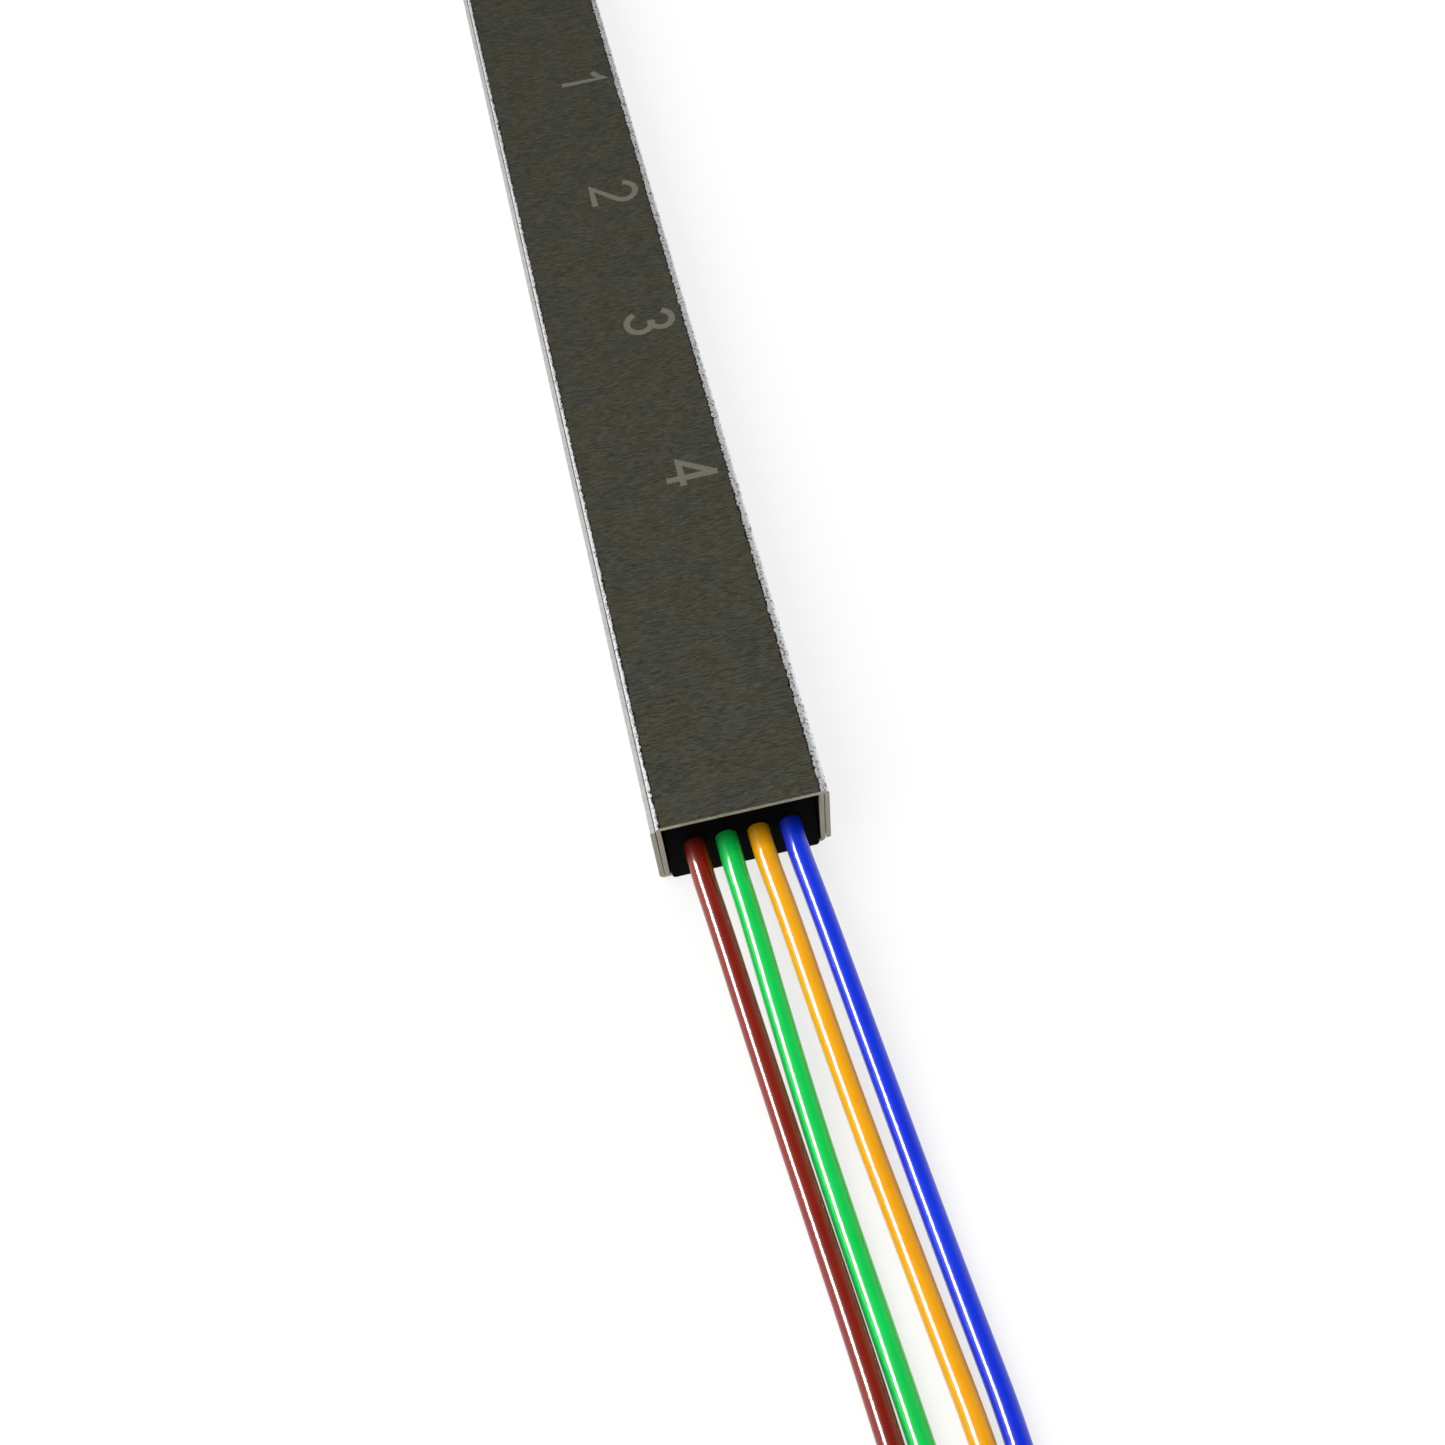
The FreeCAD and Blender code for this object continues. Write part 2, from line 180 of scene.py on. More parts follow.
@dataclass(frozen=True)
class GrainedFinish(Finish):
    """A finish whose colour, roughness and surface carry one fine grain.

    Where the real grain is under 0.05 mm it is drawn coarser, about 0.1 mm, so that it shows.
    """

    second: str = ""  # the colour that the grain turns to
    grain: float = 0.1  # mm across one grain
    rough_spread: float = 0.08
    relief: float = 0.004  # mm
    clearness: float = 0.0
    scatter: float = 0.0
    scatter_reach: float = 0.3  # mm

    def dress(self, tree: NodeTree, shader: Node, place: NodeSocket) -> None:
        """Varies colour and roughness with the grain and raises it by the relief.

        Args:
            tree: The material's node tree.
            shader: Its Principled shader.
            place: The point on the object, in metres.
        """
        coarse = {"Scale": 1 / (self.grain * MM), "Detail": 4.0, "Roughness": 0.6}
        grain = add_node(tree, "TexNoise", coarse, {"Vector": place}).outputs["Fac"]
        stops = [(0.32, linear(self.colour)), (0.68, linear(self.second or self.colour))]
        tone = add_node(tree, "ValToRGB", {"stops": stops}, {"Fac": grain})
        tree.links.new(tone.outputs["Color"], shader.inputs["Base Color"])
        low, high = self.roughness - self.rough_spread, self.roughness + self.rough_spread
        spread = add_node(tree, "MapRange", {"To Min": low, "To Max": high}, {"Value": grain})
        tree.links.new(spread.outputs["Result"], shader.inputs["Roughness"])
        relief = add_node(tree, "Bump", {"Strength": 1.0, "Distance": self.relief * MM}, {"Height": grain})
        tree.links.new(relief.outputs["Normal"], shader.inputs["Normal"])
        shader.inputs["Transmission Weight"].default_value = self.clearness
        if self.scatter:
            self.milky(shader, self.scatter, self.scatter_reach)


@dataclass(frozen=True)
class BrushedStainless(Finish):
    """Stainless sheet, 0.2 mm, brushed across the strip and then folded.

    The brushing gives the flat web a dark satin of short cross strokes, in patches of slightly other
    tone. The bending tool burnishes the folds flecked, with a ragged dark line of torn grain where each
    fold starts; the folds' near-white colour is partly a painted highlight of the light that they catch.
    The flanges beyond the folds are a lighter satin.
    """

    light: str = "#b8b7a6"
    tints: tuple[str, str, str] = ("#fdf6ea", "#fdfdf6", "#f2f5fa")  # of the patches, multiplied
    # burnished steel, lightened further as a painted highlight on the folds
    burnish_and_highlight: str = "#f2f3f4"
    flecked: str = "#6f706e"
    flange: str = "#d0d0cc"
    torn: str = "#121210"
    scratched: str = "#a19e8f"
    dusted: str = "#d8d6c8"
    web_middle: float = 0.025  # mm, the middle of the dark web across the housing
    web_half: float = 3.14  # mm from there to where the folds start
    web_height: float = 4.0  # mm, of the web's outer face
    fold_height: float = 0.42  # mm from there to where the flanges start
    fold_roughness: float = 0.7  # share of the web's roughness
    fold_metallic: float = 0.6  # share of the web's metallic
    stroke_length: float = 0.32  # mm
    stroke_width: float = 0.045  # mm, twice the real grit's, so that the strokes show
    stroke_depth: float = 0.004  # mm
    patch: float = 1.6  # mm across a patch
    fleck: float = 0.13  # mm across a fleck on the folds
    tooth: float = 0.22  # mm between the teeth of the torn line
    ragged: float = 0.15  # mm that the torn line wanders
    hairline_length: float = 0.9  # mm
    pit: Point = (-2.66, -14.1, 4.0)  # mm
    pit_radius: float = 0.16  # mm
    speck_pitch: float = 0.7  # mm between specks of dust and pin scratches

    def dress(self, tree: NodeTree, shader: Node, place: NodeSocket) -> None:
        """Brushes the web, burnishes the folds and draws the torn line between them.

        Args:
            tree: The material's node tree.
            shader: Its Principled shader.
            place: The point on the object, in metres.
        """
        strokes = self.strokes(tree, place)
        bright, line = self.fold_masks(tree, place)
        web = add_node(
            tree,
            "Mix",
            {"data_type": "RGBA", MIX_B: linear(self.torn)},
            {0: line, MIX_A: self.web_colour(tree, place, strokes)},
        )
        colour = add_node(
            tree,
            "Mix",
            {"data_type": "RGBA"},
            {0: bright, MIX_A: web.outputs[MIX_RESULT], MIX_B: self.side_colour(tree, place, strokes)},
        )
        tree.links.new(colour.outputs[MIX_RESULT], shader.inputs["Base Color"])
        for socket, flat, folded in (
            ("Roughness", self.roughness, self.roughness * self.fold_roughness),
            ("Metallic", self.metallic, self.metallic * self.fold_metallic),
        ):
            change = add_node(tree, "MapRange", {"To Min": flat, "To Max": folded}, {"Value": bright})
            tree.links.new(change.outputs["Result"], shader.inputs[socket])
        depth = {"Strength": 1.0, "Distance": self.stroke_depth * MM}
        relief = add_node(tree, "Bump", depth, {"Height": strokes})
        tree.links.new(relief.outputs["Normal"], shader.inputs["Normal"])

    def strokes(self, tree: NodeTree, place: NodeSocket) -> NodeSocket:
        """Draws the brush strokes, longer across the housing than along it.

        Args:
            tree: The material's node tree.
            place: The point on the object.

        Returns:
            How high the surface stands in the strokes, from 0 to 1.
        """
        along, across = 1 / (self.stroke_length * MM), 1 / (self.stroke_width * MM)
        stretched = add_node(tree, "Mapping", {"Scale": (along, across, along)}, {"Vector": place})
        fine = {"Scale": 1.0, "Detail": 3.0, "Roughness": 0.65}
        return add_node(tree, "TexNoise", fine, {"Vector": stretched.outputs["Vector"]}).outputs["Fac"]

    def web_colour(self, tree: NodeTree, place: NodeSocket, strokes: NodeSocket) -> NodeSocket:
        """Colours the flat web with its strokes, patches, hairlines and specks.

        Args:
            tree: The material's node tree.
            place: The point on the object.
            strokes: The brush strokes.

        Returns:
            The web's colour.
        """
        stops = [(0.36, linear(self.colour)), (0.66, linear(self.light))]
        tone = add_node(tree, "ValToRGB", {"stops": stops}, {"Fac": strokes})
        wide = {"Scale": 1 / (self.patch * MM), "Detail": 2.0}
        patches = add_node(tree, "TexNoise", wide, {"Vector": place})
        stops = [(share, linear(tint)) for share, tint in zip((0.38, 0.5, 0.62), self.tints)]
        tint = add_node(tree, "ValToRGB", {"stops": stops}, {"Fac": patches.outputs["Fac"]})
        face = add_node(
            tree,
            "Mix",
            {"data_type": "RGBA", "blend_type": "MULTIPLY", 0: 1.0},
            {MIX_A: tone.outputs["Color"], MIX_B: tint.outputs["Color"]},
        )
        marks = (
            (self.scratched, self.hairlines_and_pit(tree, place)),
            (self.dusted, self.specks(tree, place)),
        )
        colour = face.outputs[MIX_RESULT]
        for mark, amount in marks:
            settings = {"data_type": "RGBA", MIX_B: linear(mark)}
            colour = add_node(tree, "Mix", settings, {0: amount, MIX_A: colour}).outputs[MIX_RESULT]
        return colour

    def side_colour(self, tree: NodeTree, place: NodeSocket, strokes: NodeSocket) -> NodeSocket:
        """Colours the flecked folds, and the flanges beyond them.

        Args:
            tree: The material's node tree.
            place: The point on the object.
            strokes: The brush strokes.

        Returns:
            The colour of what isn't web.
        """
        fine = {"Scale": 1 / (self.fleck * MM), "Detail": 2.0, "Roughness": 0.7}
        flecks = add_node(tree, "TexNoise", fine, {"Vector": place})
        # The folds' near-white colour is partly a painted highlight.
        stops = [(0.36, linear(self.flecked)), (0.46, linear(self.burnish_and_highlight))]
        fold = add_node(tree, "ValToRGB", {"stops": stops}, {"Fac": flecks.outputs["Fac"]})
        faint = add_node(tree, "MapRange", {"From Min": 0.3, "From Max": 0.7}, {"Value": strokes})
        side = add_node(
            tree,
            "Mix",
            {"data_type": "RGBA", "blend_type": "MULTIPLY", 0: 0.25, MIX_A: linear(self.flange)},
            {MIX_B: faint.outputs["Result"]},
        )
        beyond = add_node(
            tree,
            "Mix",
            {"data_type": "RGBA"},
            {
                0: self.flange_mask(tree, place),
                MIX_A: fold.outputs["Color"],
                MIX_B: side.outputs[MIX_RESULT],
            },
        )
        return beyond.outputs[MIX_RESULT]

    def hairlines_and_pit(self, tree: NodeTree, place: NodeSocket) -> NodeSocket:
        """Draws faint hairlines across the sheet, and one small ring-shaped pit.

        Args:
            tree: The material's node tree.
            place: The point on the object.

        Returns:
            How much of the mark's colour shows.
        """
        scale = (1 / (self.hairline_length * MM), 1 / (self.stroke_width * MM), 1.0)
        drawn = add_node(tree, "Mapping", {"Scale": scale}, {"Vector": place})
        plain = {"Scale": 1.0, "Detail": 0.0}
        hairs = add_node(tree, "TexNoise", plain, {"Vector": drawn.outputs["Vector"]})
        faint = {"From Min": 0.7, "From Max": 0.78, "To Max": 0.22}
        scratch = add_node(tree, "MapRange", faint, {"Value": hairs.outputs["Fac"]})
        middle = [c * MM for c in self.pit]
        reach = add_node(tree, "VectorMath", {"operation": "DISTANCE", 1: middle}, {0: place})
        share = add_node(
            tree, "MapRange", {"From Max": self.pit_radius * MM}, {"Value": reach.outputs["Value"]}
        )
        stops = [(0.25, grey(0.0)), (0.45, grey(0.6)), (0.7, grey(0.6)), (0.95, grey(0.0))]
        ring = add_node(tree, "ValToRGB", {"stops": stops}, {"Fac": share.outputs["Result"]})
        most = {0: scratch.outputs["Result"], 1: ring.outputs["Color"]}
        return add_node(tree, "Math", {"operation": "MAXIMUM"}, most).outputs["Value"]

    def specks(self, tree: NodeTree, place: NodeSocket) -> NodeSocket:
        """Scatters pin-sized bright specks, each of its own strength.

        Args:
            tree: The material's node tree.
            place: The point on the object.

        Returns:
            How much of the specks' colour shows.
        """
        cells = add_node(tree, "TexVoronoi", {"Scale": 1 / (self.speck_pitch * MM)}, {"Vector": place})
        size = {"From Min": 0.03, "From Max": 0.052, "To Min": 1.0, "To Max": 0.0}
        spot = add_node(tree, "MapRange", size, {"Value": cells.outputs["Distance"]})
        chosen = add_node(tree, "SeparateColor", links={"Color": cells.outputs["Color"]})
        strength = {"From Min": 0.35, "From Max": 1.0, "To Max": 0.9}
        weight = add_node(tree, "MapRange", strength, {"Value": chosen.outputs["Red"]})
        both = {0: spot.outputs["Result"], 1: weight.outputs["Result"]}
        return add_node(tree, "Math", {"operation": "MULTIPLY"}, both).outputs["Value"]

    def flange_mask(self, tree: NodeTree, place: NodeSocket) -> NodeSocket:
        """Finds the share of flange, by how far a point lies from the web's face.

        Args:
            tree: The material's node tree.
            place: The point on the object.

        Returns:
            0 on the web and its folds, and 1 on the flanges.
        """
        split = add_node(tree, "SeparateXYZ", links={"Vector": place})
        level = {"operation": "SUBTRACT", 1: self.web_height * MM}
        drop = add_node(tree, "Math", level, {0: split.outputs["Z"]})
        depth = add_node(tree, "Math", {"operation": "ABSOLUTE"}, {0: drop.outputs["Value"]})
        start = self.fold_height * MM
        soft = {"From Min": start, "From Max": start + 0.12 * MM}
        return add_node(tree, "MapRange", soft, {"Value": depth.outputs["Value"]}).outputs["Result"]

    def fold_masks(self, tree: NodeTree, place: NodeSocket) -> tuple[NodeSocket, NodeSocket]:
        """Finds how far a point lies beyond the edge of the flat web.

        Args:
            tree: The material's node tree.
            place: The point on the object.

        Returns:
            The share of burnished metal, whose colour is partly a painted highlight, and the share of the
            torn line.
        """
        split = add_node(tree, "SeparateXYZ", links={"Vector": place})
        middle = {"operation": "SUBTRACT", 1: self.web_middle * MM}
        offset = add_node(tree, "Math", middle, {0: split.outputs["X"]})
        half = add_node(tree, "Math", {"operation": "ABSOLUTE"}, {0: offset.outputs["Value"]})
        fine = {"Scale": 1 / (self.tooth * MM), "Detail": 3.0, "Roughness": 0.7}
        teeth = add_node(tree, "TexNoise", fine, {"Vector": place})
        spread = {"To Min": -self.ragged * MM, "To Max": self.ragged * MM}
        wander = add_node(tree, "MapRange", spread, {"Value": teeth.outputs["Fac"]})
        both = {0: half.outputs["Value"], 1: wander.outputs["Result"]}
        ragged = add_node(tree, "Math", {"operation": "ADD"}, both).outputs["Value"]
        edge = self.web_half * MM
        shares = []
        for start, end in ((0.0, 0.03), (-0.05, -0.02)):  # mm beyond the edge
            ramp = {"From Min": edge + start * MM, "From Max": edge + end * MM}
            shares.append(add_node(tree, "MapRange", ramp, {"Value": ragged}).outputs["Result"])
        return shares[0], shares[1]


@dataclass(frozen=True)
class LeadJacket(Finish):
    """Nylon tube, 0.9 mm, extruded: a saturated, slightly milky core under a glossy skin.

    The skin gives one narrow white streak that wavers a little. Next to the plug the colour is darkened
    towards black: a painted shade of the housing's rim over the lead's first millimetre.
    """

    streak: str = ""  # the slightly other tone that runs along the tube
    cloud: float = 1.8  # mm across a cloud of that tone
    wave: float = 3.5  # mm from one faint bend of the skin to the next
    wave_depth: float = 0.004  # mm
    scatter: float = 0.25
    scatter_reach: float = 0.12  # mm
    skin: float = 0.7
    skin_roughness: float = 0.13
    skin_ior: float = 1.55
    exit_shade_start: float = -30.9  # mm along the housing, where the painted shade by the plug starts
    exit_shade_end: float = -29.9
    exit_shade: float = 0.7

    def dress(self, tree: NodeTree, shader: Node, place: NodeSocket) -> None:
        """Adds faint die lines, a milky depth, the glossy skin and a painted shade next to the plug.

        Args:
            tree: The material's node tree.
            shader: Its Principled shader.
            place: The point on the object, in metres.
        """
        wide = {"Scale": 1 / (self.cloud * MM), "Detail": 3.0}
        cloud = add_node(tree, "TexNoise", wide, {"Vector": place})
        stops = [(0.35, linear(self.colour)), (0.7, linear(self.streak))]
        tone = add_node(tree, "ValToRGB", {"stops": stops}, {"Fac": cloud.outputs["Fac"]})
        # Darkens the lead's first millimetre out of the plug: painted shade of the housing's rim.
        split = add_node(tree, "SeparateXYZ", links={"Vector": place})
        reach = {"From Min": self.exit_shade_start * MM, "From Max": self.exit_shade_end * MM, "To Max": self.exit_shade}
        exit_shade = add_node(tree, "MapRange", reach, {"Value": split.outputs["Y"]})
        exit_shaded = add_node(
            tree,
            "Mix",
            {"data_type": "RGBA", MIX_B: grey(0.002)},
            {0: exit_shade.outputs["Result"], MIX_A: tone.outputs["Color"]},
        )
        tree.links.new(exit_shaded.outputs[MIX_RESULT], shader.inputs["Base Color"])
        wave = add_node(tree, "TexNoise", {"Scale": 1 / (self.wave * MM), "Detail": 0.0}, {"Vector": place})
        depth = {"Strength": 0.3, "Distance": self.wave_depth * MM}
        relief = add_node(tree, "Bump", depth, {"Height": wave.outputs["Fac"]})
        tree.links.new(relief.outputs["Normal"], shader.inputs["Normal"])
        self.milky(shader, self.scatter, self.scatter_reach)
        shader.inputs["Coat Weight"].default_value = self.skin
        shader.inputs["Coat Roughness"].default_value = self.skin_roughness
        shader.inputs["Coat IOR"].default_value = self.skin_ior


# Stainless sheared off across the flanges: a dull beige metal, with a coarse bright and dark grain.
SHEARED_END = GrainedFinish("sheared_flange_end", "#7d796b", 0.36, 0.8, second="#9d9888", grain=0.12)

# The same sheet sheared across the web: a paler, less metallic copy of the flange ends, painted lighter
# because the web's end faces the shaded floor and the leads.
SHEARED_WEB_LIT_COPY = GrainedFinish(
    "sheared_web_end_lit_copy", "#8f8a76", 0.45, 0.4, second="#b5af9a", grain=0.09, relief=0.006
)

# The strip's edge, slit by rollers: a thin line of even satin, its nearly white colour a painted highlight of
# the light from the left on the flange tips.
SLIT_EDGE_HIGHLIGHT = GrainedFinish("slit_edge_painted_highlight", "#d9d9d5", 0.4, 0.35, second="#f2f2ef", grain=0.12)

# Rubber moulded in a matt tool: a black so dull that its edges hardly show.
BLACK_RUBBER = GrainedFinish(
    "moulded_black_rubber", "#020202", 0.75, specular=0.03, second="#050506", grain=0.09, relief=0.006
)

# Steel annealed by the marking laser: a paler grey than the brushed web, and a little more matt.
LASER_MARK = GrainedFinish("laser_annealed_steel", "#8f8c7d", 0.5, 0.6, second="#aaa693", grain=0.07)

# Polyester film cut to bands: white, smooth, and faintly uneven where it was drawn tight.
TIE_FILM = GrainedFinish("polyester_tie_film", "#e9e9e6", 0.3, second="#f2f2ef", grain=0.6)

# Nylon tube extruded in the colour code: deep, even colours under the glossy skin.
JACKETS = {
    colour: LeadJacket(f"nylon_tube_{colour.value}", core, 0.35, ior=1.53, specular=0.1, streak=streak)
    for colour, core, streak in (
        (LeadColour.BROWN, "#841500", "#8c1d02"),
        (LeadColour.GREEN, "#00ce52", "#00d65a"),
        (LeadColour.ORANGE, "#f8a900", "#fdb200"),
        (LeadColour.BLUE, "#002edc", "#0036e4"),
    )
}

# Fibre drawn through tinted acrylate: a clean, slightly paler colour, as smooth as glass.
FIBRE_COATS = {
    colour: GrainedFinish(f"acrylate_coat_{colour.value}", coat, 0.3, second=second, grain=0.2)
    for colour, coat, second in (
        (LeadColour.BROWN, "#8a4a28", "#945230"),
        (LeadColour.GREEN, "#2fae5a", "#38b863"),
        (LeadColour.ORANGE, "#e99a2e", "#f0a53b"),
        (LeadColour.BLUE, "#2f5bd0", "#3a66d8"),
    )
}


def eased(share: float) -> float:
    """A share that starts and ends gently as it goes from 0 to 1."""
    share = min(1.0, max(0.0, share))
    return share * share * (3 - 2 * share)


def dress(piece: Object, *finishes: Material) -> None:
    """Gives a piece its materials.

    Args:
        piece: The object.
        finishes: Its materials, in the order of its mesh's material numbers.
    """
    slots = piece.data.materials
    while len(slots) > len(finishes):
        slots.pop()
    for k, finish in enumerate(finishes):
        if k < len(slots):
            slots[k] = finish
        else:
            slots.append(finish)


def settle(piece: Object, nodes: Sequence[str]) -> None:
    """Places a made piece in the frame.

    Args:
        piece: The new object.
        nodes: The CAD nodes that it stands for.
    """
    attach(piece, BODY)
    if nodes:
        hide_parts(*nodes)
    log.info("%s: made, stands for %s", piece.name, ", ".join(nodes) or "nothing")


def mesh_piece(name: str, bm: BMesh, sharp: float = 32.0) -> Object:
    """Turns a bmesh in millimetres to an object in metres, smooth but for its sharp edges.

    Args:
        name: The piece's name.
        bm: The bmesh, which is freed.
        sharp: Degrees from which an edge stays sharp.

    Returns:
        The new object.
    """
    bmesh.ops.recalc_face_normals(bm, faces=bm.faces)
    bm.transform(Matrix.Scale(MM, 4))
    for face in bm.faces:
        face.smooth = True
    mesh = bpy.data.meshes.new(name)
    bm.to_mesh(mesh)
    bm.free()
    mesh.set_sharp_from_angle(angle=math.radians(sharp))
    piece = bpy.data.objects.new(name, mesh)
    bpy.context.scene.collection.objects.link(piece)
    return piece


def join_rings(bm: BMesh, rings: Sequence[Sequence[BMVert]]) -> None:
    """Joins closed rings of equal count with quads.

    Args:
        bm: The mesh that holds them.
        rings: The rings, in order along the piece.
    """
    for one, two in zip(rings, rings[1:]):
        for k in range(len(one)):
            m = (k + 1) % len(one)
            bm.faces.new((one[k], one[m], two[m], two[k]))


@dataclass
class Strip:
    """A thick sheet strip, whose cut edges are broken by a small chamfer."""

    thickness: float
    edge_break: float
    face_slot: int = 0
    flange_end_slot: int = 1
    slit_edge_slot: int = 2
    web_end_slot: int = 3
    web_slope: float = 0.7  # upright share of a normal from which the sheet counts as web

    def end_slot(self, normal: Vector) -> int:
        """The material number of a sheared end, where the sheet faces this way."""
        return self.web_end_slot if abs(normal.z) > self.web_slope else self.flange_end_slot

    def build(
        self,
        line: Sequence[tuple[Vector, Vector]],
        places: Sequence[float],
        move: Callable[[Vector, Vector, float], Vector],
    ) -> BMesh:
        """Makes the strip's closed mesh.

        Args:
            line: Points of the middle of the thickness and their outward normals, from tip to tip.
            places: Where its sections lie along the strip's width.
            move: Gives a vertex from its point, its normal and its place along the width.

        Returns:
            A bmesh with faces and cut edges.
        """
        bm = bmesh.new()
        last_i, last_j = len(line) - 1, len(places) - 1
        grid = {}
        for side in (1, -1):
            for j, place in enumerate(places):
                for i, (point, normal) in enumerate(line):
                    cut = i in (0, last_i) or j in (0, last_j)
                    half = self.thickness / 2 - (self.edge_break if cut else 0.0)
                    grid[side, i, j] = bm.verts.new(move(point + side * half * normal, side * normal, place))
        for side in (1, -1):
            for j in range(last_j):
                for i in range(last_i):
                    keys = [(side, i, j), (side, i + 1, j), (side, i + 1, j + 1), (side, i, j + 1)]
                    face = bm.faces.new([grid[k] for k in keys])
                    if j in (0, last_j - 1):
                        face.material_index = self.end_slot(line[i][1])
                    elif i in (0, last_i - 1):
                        face.material_index = self.slit_edge_slot
                    else:
                        face.material_index = self.face_slot
        for i in range(last_i):
            for j in (0, last_j):
                keys = [(1, i, j), (1, i + 1, j), (-1, i + 1, j), (-1, i, j)]
                bm.faces.new([grid[k] for k in keys]).material_index = self.end_slot(line[i][1])
        for j in range(last_j):
            for i in (0, last_i):
                keys = [(1, i, j), (1, i, j + 1), (-1, i, j + 1), (-1, i, j)]
                bm.faces.new([grid[k] for k in keys]).material_index = self.slit_edge_slot
        return bm


@dataclass
class Housing:
    """Two equal folded channels pushed into each other, one of them turned over as the cover."""

    length: float = 60.0
    width: float = 7.0
    height: float = 4.0
    thickness: float = 0.2
    inner_radius: float = 0.02
    clearance: float = 0.025  # between the two channels
    edge_break: float = 0.02
    fold_steps: int = 14
    tip_band: float = 0.4  # from a flange's tip to its next row of faces
    foot_band: float = 0.3  # from a fold to the flange's next row of faces
    web_rows: tuple[float, ...] = (0.02, 0.06, 0.15, 0.3, 0.5, 0.58, 0.66, 0.7, 0.8, 0.94, 0.98)
    station_pitch: float = 0.5  # between sections along the housing
    end_band: float = 0.1  # from a sheared end to its next section
    ripple: float = 0.012  # of the sheared ends
    ripple_rate: float = 1.7  # per mm
    ripple_seeds: tuple[float, float] = (2.1, 7.3)  # of the base and the cover
    nick_place: float = 1.2  # of the burr on the cover's end, across the housing
    nick_half_width: float = 0.09
    nick_length: float = 0.05
    nick_drop: float = 0.02
    nick_reach: float = 0.015

    @property
    def flange(self) -> float:
        """Height of a flange's tip."""
        return self.height - self.thickness - self.clearance

    @property
    def channel_width(self) -> float:
        """Width of one channel over its flanges."""
        return self.width - self.thickness - self.clearance

    def section(self) -> list[tuple[Vector, Vector]]:
        """The middle line of the base channel's sheet, from its left tip round to its right tip.

        Returns:
            Points in the plane across the housing, with outward normals.
        """
        radius = self.inner_radius + self.thickness / 2
        outer = self.inner_radius + self.thickness
        left = -self.width / 2
        right = left + self.channel_width
        sides = {-1: left + outer, 1: right - outer}
        line: list[tuple[Vector, Vector]] = []
        heights = [self.flange, self.flange - self.edge_break, self.flange - self.tip_band]
        heights += [(self.flange + outer) / 2, outer + self.foot_band]
        for z in heights:
            line.append((Vector((left + self.thickness / 2, 0, z)), Vector((-1, 0, 0))))
        for side in (-1, 1):
            for step in range(self.fold_steps + 1):
                angle = math.radians(step * 90 / self.fold_steps)
                turn = angle if side < 0 else math.pi / 2 - angle
                out = Vector((side * math.cos(turn), 0, -math.sin(turn)))
                line.append((Vector((sides[side], 0, outer)) + radius * out, out))
            if side < 0:
                span = sides[1] - sides[-1]
                for share in self.web_rows:
                    x = sides[-1] + share * span
                    line.append((Vector((x, 0, self.thickness / 2)), Vector((0, 0, -1))))
        for z in reversed(heights):
            line.append((Vector((right - self.thickness / 2, 0, z)), Vector((1, 0, 0))))
        return line

    def stations(self) -> list[float]:
        """Places the sections along the housing, close together at its sheared ends.

        Returns:
            Their places, from the output end to the input end.
        """
        half, count = self.length / 2, round(self.length / self.station_pitch)
        ends = [half - self.end_band, half - self.edge_break, half]
        inner = [-half + self.station_pitch * k for k in range(1, count)]
        return [-place for place in reversed(ends)] + inner + ends

    def channel(self, name: str, turned: bool) -> Object:
        """Makes one channel.

        Args:
            name: The piece's name.
            turned: Whether it is the cover, which is the base turned over.

        Returns:
            The new object.
        """
        half = self.length / 2
        seed = self.ripple_seeds[turned]

        def move(point: Vector, normal: Vector, place: float) -> Vector:
            """Turns the cover over, ripples the sheared ends and presses the burr down.

            Args:
                point: The vertex in the plane across the base channel.
                normal: The way that its side of the sheet faces there.
                place: Its place along the housing.

            Returns:
                Where the vertex goes.
            """
            x, z = (-point.x, self.height - point.z) if turned else (point.x, point.z)
            y = place
            if abs(place) > half - self.edge_break / 2:
                wave = noise.noise(Vector((x * self.ripple_rate, z * self.ripple_rate, seed)))
                y += math.copysign(self.ripple, place) * (wave - 0.5)
            if turned and place < -half + self.nick_length and normal.z > 0:
                near = max(0.0, 1 - abs(x - self.nick_place) / self.nick_half_width)
                z -= self.nick_drop * near
                y -= self.nick_reach * near
            return Vector((x, y, z))

        strip = Strip(self.thickness, self.edge_break)
        return mesh_piece(name, strip.build(self.section(), self.stations(), move))

    def build(self) -> None:
        """Makes both channels and dresses them."""
        end, edge, web_end = SHEARED_END.build(), SLIT_EDGE_HIGHLIGHT.build(), SHEARED_WEB_LIT_COPY.build()
        for part, turned in (("base", False), ("cover", True)):
            # Stainless sheet, brushed and folded: a dark satin of short cross strokes, bright at the folds,
            # whose brightness is partly a painted highlight.
            steel = BrushedStainless(
                f"brushed_stainless_{part}",
                "#7c7b6c",
                0.4,
                metallic=0.9,
                web_middle=BrushedStainless.web_middle * (1 if turned else -1),
                web_height=self.height if turned else 0.0,
            )
            piece = self.channel(f"folded_{part}", turned)
            dress(piece, steel.build(), end, edge, web_end)
            settle(piece, [f"housing_{part}"])


